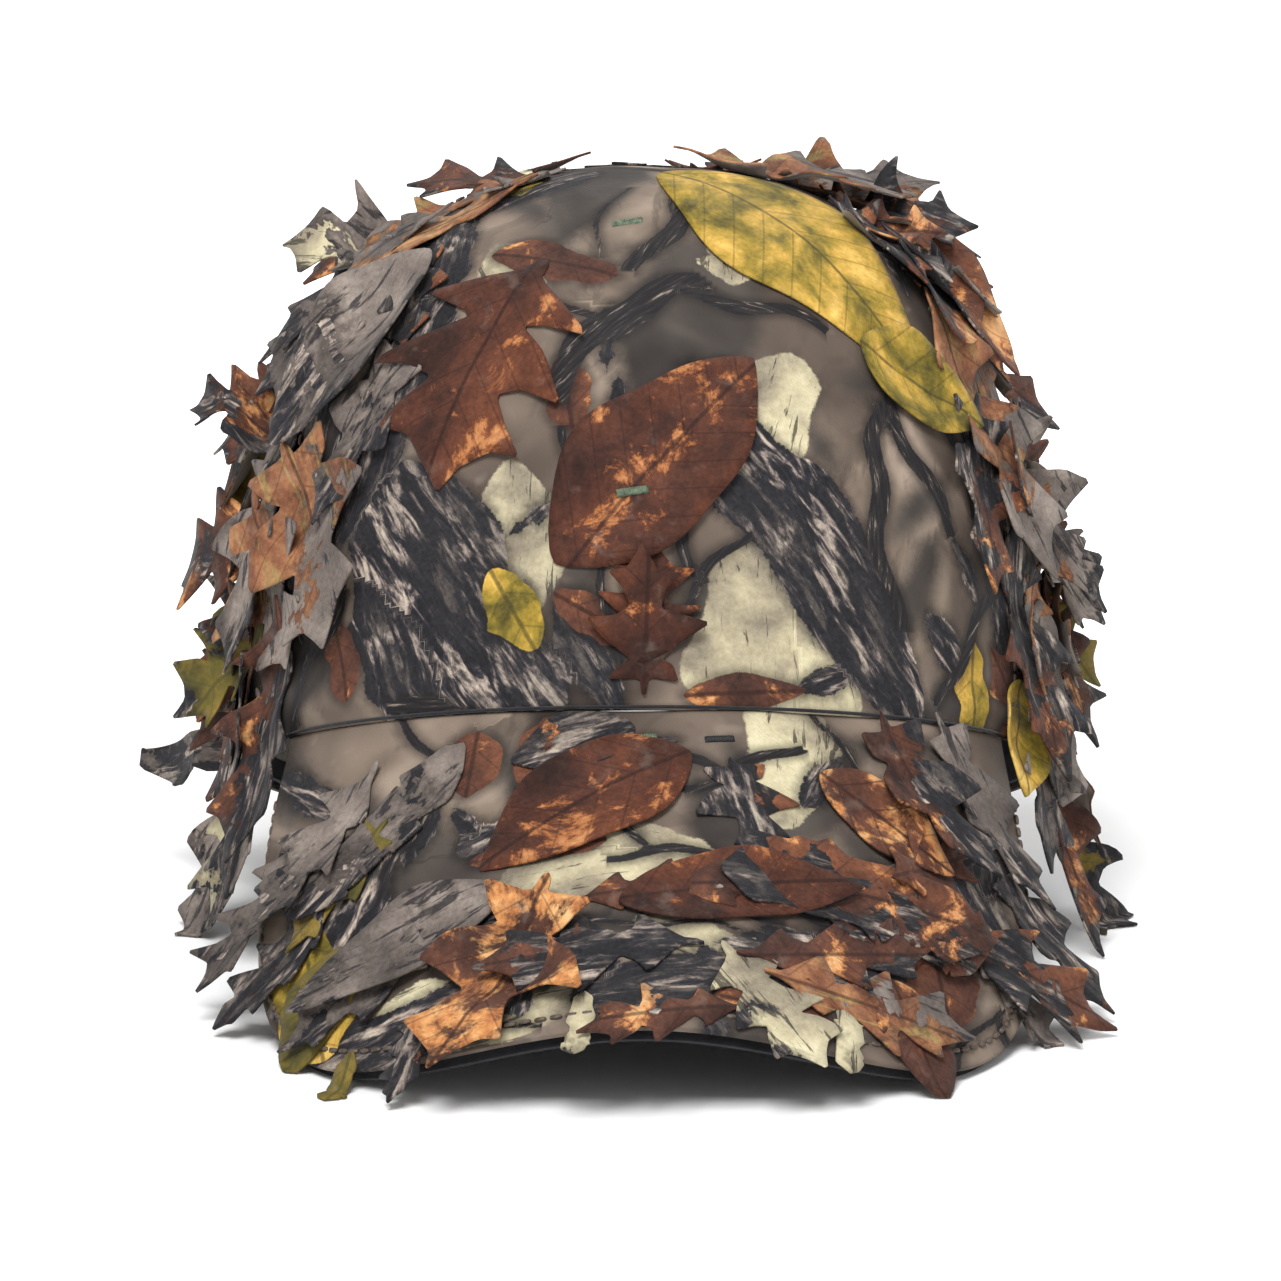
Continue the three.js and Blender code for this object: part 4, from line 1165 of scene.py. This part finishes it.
def leaf(name, on, kind, at, turn, length, width, layer, curl, color, tack=0.4):
    """A die-cut leaf, laid from its tack over the crown or the peak, its free parts lifted a little."""
    rng = np.random.default_rng(sum(ord(c) * (i + 3) for i, c in enumerate(name)))
    flat, faces = leaf_flat(kind, length, width, tack, rng)
    along, across = flat[:, 0], flat[:, 1]
    across = across + rng.uniform(-0.004, 0.004) * along**2
    distance = np.hypot(along, across)
    lift = leaf_lift(along, across, layer, curl, rng)
    right, up = turned(along, across, turn)
    if on == "crown" and 40 < (at[0] + 90) % 360 < 320:
        # On the sides and the top, leaves stand off at the back, so that they turn their faces to the front.
        lean = (0.1 + 0.06 * curl) * np.maximum(rearward(at, right, up), 0) * smooth(distance / 16)
        lift = lift + np.minimum(lean, MOST_LEAN)
    # Cloth keeps its length, so what stands off reaches less far from the tack.
    rise = (lift - AT_THE_TACK) / np.maximum(distance, 1)
    reach = np.sqrt(np.maximum(1 - rise**2, 0.3))
    laid = (wrap_peak if on == "peak" else wrap_crown)(at, right * reach, up * reach, lift)
    # What would go through the table is moved up to it.
    low = world(laid)[:, 2]
    upright = np.array([0, -math.sin(TILT), math.cos(TILT)])
    laid = laid + np.maximum(0, TABLE_CLEARANCE - low)[:, None] / MM * upright
    tone = np.full_like(along, rng.uniform(0, 1))
    coordinates = np.stack([along + length * tack, across, tone], -1)
    obj = piece(name, laid, faces, [LEAF_MATERIALS[color], BACK], attributes={"leaf": coordinates})
    cloth = obj.modifiers.new("cloth", "SOLIDIFY")
    cloth.thickness = LEAF_CLOTH
    cloth.offset = -1
    cloth.material_offset = 1
    cloth.material_offset_rim = 0
    leaf_sheet(flat, faces)
    return obj


# The leaves with a solid, by what they lie on: name, kind, place of the tack, turn, length, width, layer,
# curl, cloth, and how far along the leaf its tack is. The place is an angle round the crown and one up it,
# or millimetres across the peak and down it.
CAD_LEAVES = {
    "crown": [
        ("leaf_front_oak", "oak", (-112, 42), 250, 56, 44, 0, 0, "russet"),
        ("leaf_front_brown", "oval", (-85.5, 31), 48, 54, 26, 0, 0, "russet"),
        ("leaf_front_gold", "oval", (-66, 57), 308, 66, 34, 0, 0, "gold"),
        ("leaf_brow", "oak", (-90, 10), 80, 28, 22, 0, 0, "russet"),
        ("leaf_top_oak", "maple", (-32, 72), 330, 52, 34, 0, 7, "tan", 0.3),
        ("leaf_top_cream", "strip", (-150, 77), 150, 36, 16, 0, 3, "cream"),
        ("leaf_top_back_right", "oak", (42, 69), 20, 46, 32, 0, 3, "grey"),
        ("leaf_top_back_left", "maple", (128, 70), 130, 50, 34, 0, 6, "brown"),
        ("leaf_right_dark", "maple", (-38, 59), 275, 30, 20, 0, 2, "bark"),
        ("leaf_right_long", "oak", (-27, 41), 290, 60, 30, 0, 1, "tan"),
        ("leaf_right_bark", "strip", (-22, 12), 265, 46, 24, 0, 4, "grey", 0.3),
        ("leaf_right_small", "maple", (-3, 52), 300, 44, 30, 0, 7, "brown", 0.3),
        ("leaf_right_hollow", "oak", (4, 14), 262, 54, 28, 0, 6, "bark", 0.25),
        ("leaf_right_rear_high", "oak", (22, 48), 240, 56, 36, 0, 4, "grey"),
        ("leaf_right_rear_low", "maple", (30, 17), 280, 56, 40, 0, 4, "brown"),
        ("leaf_back_right_high", "maple", (62, 45), 250, 58, 40, 0, 4, "bark"),
        ("leaf_left_long", "oak", (-138, 64), 215, 52, 26, 0, 2, "tan"),
        ("leaf_left_grey", "maple", (-146, 44), 235, 46, 32, 0, 2, "grey"),
        ("leaf_left_maple", "maple", (-151, 22), 300, 52, 42, 0, 3, "tan"),
        ("leaf_left_out", "maple", (-178, 47), 230, 44, 30, 0, 8, "brown", 0.25),
        ("leaf_left_dark", "oak", (178, 27), 250, 44, 28, 0, 7, "bark", 0.3),
        ("leaf_left_strip", "strip", (178, 4), 188, 50, 15, 0, 11, "grey", 0.15),
        ("leaf_left_low", "oak", (-160, -3), 262, 46, 26, 0, 5, "cream", 0.3),
        ("leaf_left_rear_high", "oak", (152, 50), 300, 56, 36, 0, 4, "grey"),
        ("leaf_left_rear_low", "maple", (148, 20), 290, 42, 30, 0, 3, "olive"),
        ("leaf_back_left_high", "oak", (118, 48), 290, 58, 38, 0, 4, "brown"),
    ],
    "peak": [
        ("leaf_peak_dark", "oval", (-8, 22), 215, 50, 26, 0, 0, "russet"),
        ("leaf_peak_grey", "maple", (20, 24), 280, 28, 24, 0, 1, "bark"),
        ("leaf_peak_curled", "oval", (46, 24), 320, 34, 18, 0, 4, "ember"),
        ("leaf_peak_raised", "maple", (68, 16), 290, 48, 24, 0, 5, "grey"),
        ("leaf_peak_bark", "strip", (46, 50), 350, 46, 20, 0, 2, "bark"),
        ("leaf_peak_centre", "oak", (0, 49), 10, 38, 16, 0, 1, "brown"),
        ("leaf_peak_gold", "maple", (-26, 66), 250, 44, 38, 2, 3, "ember"),
        ("leaf_peak_olive", "maple", (-60, 36), 240, 34, 20, 0, 4, "olive"),
        ("leaf_peak_corner", "oval", (-64, 66), 260, 30, 20, 0, 2, "olive"),
        ("leaf_peak_tip", "oak", (22, 74), 300, 34, 26, 0, 2, "cream"),
        ("leaf_peak_rounded", "oval", (52, 76), 280, 28, 18, 0, 1, "brown"),
    ],
}
# A few big leaves of the front are cut fuller than their solids.
FULLER = {
    "leaf_front_oak": (58, 54, 0.42),
    "leaf_front_brown": (62, 32, 0.6),
    "leaf_front_gold": (78, 42, 0.42),
    "leaf_peak_gold": (50, 44, 0.4),
}
for on, rows in CAD_LEAVES.items():
    for name, kind, at, turn, length, width, *look in rows:
        if name in FULLER:
            length, width, tack = FULLER[name]
            look = [*look[:3], tack]
        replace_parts(leaf(name, on, kind, at, turn, length, width, *look), name)

# Smaller leaves between them, in the same order of values. These have no solid of their own in the CAD.
SMALL_LEAVES = {
    "crown": [
        ("maple", (-186, 15), 215, 34, 24, 1, 8, "bark", 0.2),
        ("oak", (-172, 62), 200, 44, 26, 1, 6, "brown", 0.3),
        ("oval", (-168, 36), 250, 40, 24, 1, 4, "olive", 0.3),
        ("maple", (-160, 12), 280, 40, 30, 1, 4, "brown", 0.3),
        ("oak", (-152, 2), 272, 44, 28, 1, 4, "grey", 0.2),
        ("maple", (-170, -4), 255, 46, 28, 1, 6, "grey", 0.2),
        ("oak", (-146, 56), 215, 60, 24, 1, 3, "grey", 0.4),
        ("oak", (-133, 72), 200, 46, 22, 1, 4, "brown", 0.4),
        ("maple", (-118, 68), 250, 24, 18, 1, 5, "grey", 0.3),
        ("maple", (-128, 50), 280, 30, 22, 0, 2, "bark", 0.4),
        ("shred", (-108, 78), 170, 26, 14, 0, 4, "bark", 0.4),
        ("shred", (-80, 80), 60, 24, 14, 0, 6, "bark", 0.3),
        ("maple", (-60, 79), 40, 34, 24, 1, 8, "brown", 0.25),
        ("maple", (-40, 62), 330, 30, 22, 1, 6, "brown", 0.3),
        ("maple", (-36, 60), 300, 26, 18, 1, 5, "bark", 0.3),
        ("maple", (-8, 62), 330, 34, 24, 1, 8, "bark", 0.25),
        ("oak", (-16, 30), 300, 44, 24, 1, 5, "grey", 0.3),
        ("oak", (-26, 2), 265, 44, 28, 1, 4, "grey", 0.3),
        ("maple", (-90, 5), 88, 30, 24, 1, 3, "russet", 0.2),
        ("maple", (-18, -4), 280, 44, 28, 1, 7, "brown", 0.2),
        ("oak", (-6, -6), 290, 44, 24, 1, 8, "olive", 0.2),
        ("maple", (2, 34), 280, 40, 26, 1, 7, "brown", 0.25),
        ("maple", (-4, 22), 300, 34, 24, 1, 7, "olive", 0.25),
        ("oval", (-51, 40), 338, 36, 24, 1, 2, "gold", 0.4),
        ("maple", (-128, 38), 235, 44, 30, 0, 3, "grey", 0.3),
        ("maple", (-140, 27), 300, 58, 48, 1, 3, "tan", 0.35),
        ("oak", (-146, 8), 262, 56, 34, 1, 4, "brown", 0.3),
        ("oval", (-134, 47), 232, 54, 30, 1, 3, "grey", 0.35),
        ("oak", (-128, 60), 212, 56, 26, 1, 3, "tan", 0.35),
        ("maple", (-150, 60), 205, 40, 28, 2, 7, "ash", 0.25),
        ("maple", (-158, 40), 190, 40, 28, 2, 9, "brown", 0.2),
        ("oak", (-37, 41), 286, 70, 36, 1, 3, "tan", 0.35),
        ("maple", (-43, 60), 268, 34, 28, 2, 4, "bark", 0.3),
        ("oak", (-32, 19), 275, 60, 32, 1, 4, "bark", 0.3),
        ("oval", (-33, 3), 262, 26, 20, 2, 4, "gold", 0.3),
        ("oak", (-58, 71), 348, 62, 40, 2, 4, "tan", 0.3),
        ("maple", (-30, 66), 310, 40, 30, 2, 7, "brown", 0.25),
    ],
    "peak": [
        ("strip", (-46, 20), 235, 50, 16, 0, 2, "grey", 0.3),
        ("oval", (-40, 52), 205, 50, 20, 0, 4, "grey", 0.3),
        ("oval", (-12, 8), 200, 26, 16, 0, 2, "bark", 0.4),
        ("oak", (-2, 64), 185, 44, 22, 0, 4, "bark", 0.3),
        ("oval", (14, 48), 12, 50, 18, 0, 3, "russet", 0.4),
        ("strip", (34, 44), 352, 60, 24, 0, 3, "bark", 0.35),
        ("maple", (52, 10), 285, 44, 30, 1, 6, "brown", 0.25),
        ("oak", (62, 50), 330, 52, 28, 1, 5, "bark", 0.25),
        ("oak", (40, 72), 350, 48, 22, 0, 3, "tan", 0.4),
        ("oak", (10, 80), 190, 34, 14, 0, 3, "brown", 0.3),
        ("oak", (-60, 20), 245, 44, 26, 1, 5, "grey", 0.25),
        ("oak", (-74, 34), 255, 40, 24, 1, 5, "grey", 0.25),
        ("shred", (-70, 52), 235, 34, 20, 1, 5, "bark", 0.3),
        ("maple", (-50, 62), 215, 40, 22, 0, 4, "grey", 0.3),
        ("shred", (-44, 80), 262, 22, 13, 0, 3, "bark", 0.3),
        ("strip", (-12, 80), 268, 16, 6, 0, 2, "cream", 0.3),
        ("oak", (34, 62), 10, 46, 20, 0, 3, "brown", 0.4),
        ("strip", (39, 78), 262, 18, 7, 0, 2, "cream", 0.3),
        ("maple", (76, 40), 300, 40, 26, 1, 6, "bark", 0.25),
        ("maple", (60, 34), 200, 30, 20, 1, 4, "brown", 0.3),
        ("shred", (72, 58), 300, 30, 18, 0, 4, "grey", 0.3),
        ("strip", (-58, 84), 270, 18, 7, 0, 2, "olive", 0.25),
    ],
}
LEAF_SHARES = {
    "brown": 0.24,
    "tan": 0.18,
    "russet": 0.08,
    "grey": 0.2,
    "bark": 0.16,
    "ash": 0.07,
    "olive": 0.07,
}


def scattered_leaves():
    """Leaves for the sides and the back of the crown, clear of the opening."""
    rng = np.random.default_rng(21)
    rows = []
    for theta, phi in golden_places(80, 7):
        lowest = 42 if 20 < theta < 160 else 12
        if theta <= -40 or theta >= 215 or phi <= lowest:
            continue
        kind = str(rng.choice(["maple", "maple", "oak", "oak", "oval"]))
        length = rng.uniform(36, 58)
        color = str(rng.choice(list(LEAF_SHARES), p=list(LEAF_SHARES.values())))
        turn = 250 + rng.uniform(-60, 60)
        width = length * rng.uniform(0.58, 0.74)
        curl = rng.uniform(3, 7)
        rows.append(("crown", kind, (theta, phi * 0.92), turn, length, width, 1, curl, color, 0.3))
    return rows


small_leaves = [(on, *row) for on, rows in SMALL_LEAVES.items() for row in rows] + scattered_leaves()
for i, row in enumerate(small_leaves):
    leaf(f"small_leaf_{i:02d}", *row)

# ---------------------------------------------------------------- stitching


PITCH, STITCH_WIDTH, STITCH_SIDES = 3.1, 0.55, 6
# Where a stitch's rings lie along it, and their sizes.
RINGS = np.array([0.0, 0.12, 0.5, 0.88, 1.0])
RING_SIZES = np.array([0.25, 0.85, 1.0, 0.85, 0.25])


def along_path(path, steps, at):
    return np.stack([np.interp(at, steps, path[:, k]) for k in range(3)], -1)


def stitches(name, path, normals, material, body="cap"):
    """A row of thread stitches along a path of points, each one standing a little out of the cloth."""
    steps = np.concatenate([[0], np.cumsum(np.linalg.norm(np.diff(path, axis=0), axis=-1))])
    points, faces = [], []
    for start in np.arange(0.4, steps[-1] - PITCH, PITCH):
        at = start + RINGS * PITCH * 0.8
        centre = along_path(path, steps, at)
        normal = unit(along_path(normals, steps, at))
        side = np.cross(normal, unit(centre[-1] - centre[0]))
        first = len(points)
        for k, size in enumerate(RING_SIZES):
            for turn in 2 * math.pi * np.arange(STITCH_SIDES) / STITCH_SIDES:
                height = math.sin(turn) * STITCH_WIDTH * 0.7 - 0.1 + 0.2 * size
                offset = side[k] * math.cos(turn) * STITCH_WIDTH + normal[k] * height
                points.append(centre[k] + offset * size)
        for ring in range(first, len(points) - STITCH_SIDES, STITCH_SIDES):
            for j in range(STITCH_SIDES):
                a, b = ring + j, ring + (j + 1) % STITCH_SIDES
                faces.append((a, b, b + STITCH_SIDES, a + STITCH_SIDES))
        faces.append(tuple(reversed(range(first, first + STITCH_SIDES))))
        faces.append(tuple(range(len(points) - STITCH_SIDES, len(points))))
    piece(name, np.array(points), faces, [material], body)


def crown_row(name, theta, phi, out=0.1, body="cap"):
    """A row of stitches on the crown."""
    path = crown(theta, phi, out)
    stitches(name, path, unit(crown(theta, phi, out + 1) - path), THREAD, body)


SEAM_TO_STITCHES = 4.5
for seam_name, degrees in SEAMS.items():
    low = 27.5 * DEG if degrees == 90 else 0.02
    phi = np.linspace(low, PANEL_TOP - 0.03, 240)
    around = np.linalg.norm(crown(degrees * DEG, phi), axis=-1) * np.cos(phi)
    off = np.minimum(SEAM_TO_STITCHES / around, 0.5)
    for side, place in ((-1, "a"), (1, "b")):
        crown_row(f"seam_stitches_{seam_name}_{place}", degrees * DEG + side * off, phi)
for side, ends in (("left", (121, 216)), ("right", (-36, 59))):
    theta = np.linspace(ends[0] * DEG, ends[1] * DEG, 300)
    crown_row(f"rim_stitches_{side}", theta, angle_at(theta, 7.0), 0.75)
turn = np.linspace(-0.99, 0.99, 160)
arch = OPENING_RISE * np.sqrt(1 - turn**2) + 0.035
crown_row("opening_stitches", math.pi / 2 + OPENING_HALF * turn * 1.03, arch)
s = np.linspace(-0.96, 0.96, 500)
near_edge = np.full_like(s, 0.95)
path = on_peak(s, near_edge, np.full_like(s, 0.1))
stitches("peak_edge_stitches", path, peak_normal(s, near_edge), THREAD)
for row in range(1, UNDER_ROWS):
    v = np.full_like(s, row / UNDER_ROWS)
    path = on_peak(s * 0.97, v, np.full_like(s, -UNDER_DEPTH - PEAK_CLOTH + 0.15))
    stitches(f"peak_under_stitches_{row}", path, -peak_normal(s * 0.97, v), UNDER_THREAD)
for name, ends, edges, out, body in (
    ("loop_strap", (51, 101), (3.6, 22.4), lambda t: SLACK + STRAP + 0.05, "cap"),
    ("hook_strap", (71, 129), (6.6, 21.4), lambda t: hook_out(t) + 0.05, "hook_strap"),
):
    theta = np.linspace(ends[0] * DEG, ends[1] * DEG, 160)
    for z, place in zip(edges, ("low", "high")):
        crown_row(f"{name}_stitches_{place}", theta, angle_at(theta, z), out(theta), body)


TACK_WIDTH, TACK_HEIGHT = 1.5, 0.65


def bar_tack(name, wrap, at, turn, length, out, material):
    """A dense bar of zigzag thread, such as holds a leaf down."""
    u, v = grid(8, 44)
    right, up = turned((u - 0.5) * length, (v - 0.5) * TACK_WIDTH, turn)
    ridge = 0.75 + 0.25 * np.cos(u * 2 * math.pi * length / 0.55)
    dome = np.sqrt(np.clip(1 - (2 * v - 1) ** 2, 0, 1)) * np.clip(np.minimum(u, 1 - u) * 14, 0, 1) ** 0.5
    top = wrap(at, right, up, out + TACK_HEIGHT * dome * ridge)
    slab(name, top, wrap(at, right, up, np.full_like(u, out - 0.4)), [material])


PIPING_RADIUS = 0.6


def brow_shade_piping():
    """A dark piping that closes the seam between the crown and the peak. Its dark cloth is also painted
    shade: it stands for the shadow line under the crown's lower edge.
    """
    u, v = grid(10, 300)
    theta = (-142.8 + 105.6 * u) * DEG
    turn = ((v - 0.5) * 1.9 * math.pi)[..., None]
    foot = crown(theta, 0.0, 0.5)
    upward = np.array([0, 0, 1.0])
    outward = unit(foot * [1, 1, 0]) * np.cos(turn)
    radius = PIPING_RADIUS * np.clip(np.minimum(u, 1 - u) * 30, 0.25, 1)[..., None]
    middle = foot + upward * 0.25
    welt = middle + radius * (outward + upward * np.sin(turn) * 0.6)
    core = middle + radius * 0.3 * (outward + upward * np.sin(turn))
    slab("brow_shade_piping", welt, core, [UNDER])


brow_shade_piping()

# Each bar tack: what it lies on, its place, turn, length, how far out it lies, and its thread.
TACKS = [
    (wrap_crown, (-93, 56), 4, 6.5, 0.1, TACK_THREAD),
    (wrap_crown, (-91.5, 24.7), 8, 6.5, 1.0, TACK_THREAD),
    (wrap_crown, (-150, 30), 350, 6.0, 1.2, TACK_THREAD),
    (wrap_crown, (-38, 49), 320, 6.0, 1.2, TACK_THREAD),
    (wrap_peak, (-1, 8), 4, 7.0, 0.6, TACK_THREAD),
    (wrap_peak, (15, 8), 2, 6.0, 0.2, UNDER_THREAD),
]
for i, (wrap, at, turn, length, out, material) in enumerate(TACKS):
    bar_tack(f"bar_tack_{i}", wrap, at, turn, length, out, material)

# ---------------------------------------------------------------- floor, light and camera


PAPER_HALF = 9.0
# The paper glows from the first distance on, fully from the second, so that it fades into white.
PAPER_GLOW, PAPER_GLOW_RANGE = 0.75, (0.13, 0.6)
SKY = 0.36


def backdrop():
    """White paper under the cap and far behind it."""
    mesh = bpy.data.meshes.new("floor")
    corners = [(x * PAPER_HALF, y * PAPER_HALF, 0) for x, y in ((-1, -1), (1, -1), (1, 1), (-1, 1))]
    mesh.from_pydata(corners, [], [(0, 1, 2, 3)])
    floor = bpy.data.objects.new("floor", mesh)
    g = Graph("floor_paper", roughness=0.9, specular_ior_level=0.1)
    g.shader.inputs["Emission Color"].default_value = (1, 1, 1, 1)
    away = g.add("ShaderNodeVectorMath", g.position(), operation="LENGTH").outputs["Value"]
    glow = g.times(g.between(away, *PAPER_GLOW_RANGE), PAPER_GLOW)
    g.put(g.shader.inputs["Emission Strength"], glow)
    value = g.noise(g.position(), 30, 2)
    mesh.materials.append(g.finish(g.ramp(value, (0.3, "f8f8f8"), (0.7, "fbfbfb"))))
    bpy.context.scene.collection.objects.link(floor)


def lamp(name, place, target, size, power):
    """A square lamp at a place, aimed at a target."""
    data = bpy.data.lights.new(name, "AREA")
    data.size = size
    data.energy = power
    obj = bpy.data.objects.new(name, data)
    obj.location = place
    obj.rotation_euler = (Vector(target) - Vector(place)).to_track_quat("-Z", "Y").to_euler()
    bpy.context.scene.collection.objects.link(obj)


backdrop()
lamp("key", (-0.25, -1.0, 1.5), (0, 0, 0.04), 0.8, 33)
lamp("fill", (1.2, -1.0, 0.8), (0, 0, 0.06), 1.2, 4)
lamp("back", (0.2, 1.0, 1.4), (0, 0, 0.08), 1.0, 12)
sky = bpy.data.worlds.new("sky")
bpy.context.scene.world = sky
sky.use_nodes = True
background = sky.node_tree.nodes["Background"].inputs
background["Color"].default_value = (1, 1, 1, 1)
background["Strength"].default_value = SKY
bpy.context.scene.view_settings.view_transform = "Standard"

camera_data = bpy.data.cameras.new("camera")
camera_data.lens = 139
camera_data.sensor_width = 36
camera = bpy.data.objects.new("camera", camera_data)
camera.location = (0, RIM_CENTRE[1] - 1.070, 0.272)
aim = Vector((-0.001, RIM_CENTRE[1], 0.061))
camera.rotation_euler = (aim - camera.location).to_track_quat("-Z", "Y").to_euler()
bpy.context.scene.collection.objects.link(camera)
bpy.context.scene.camera = camera
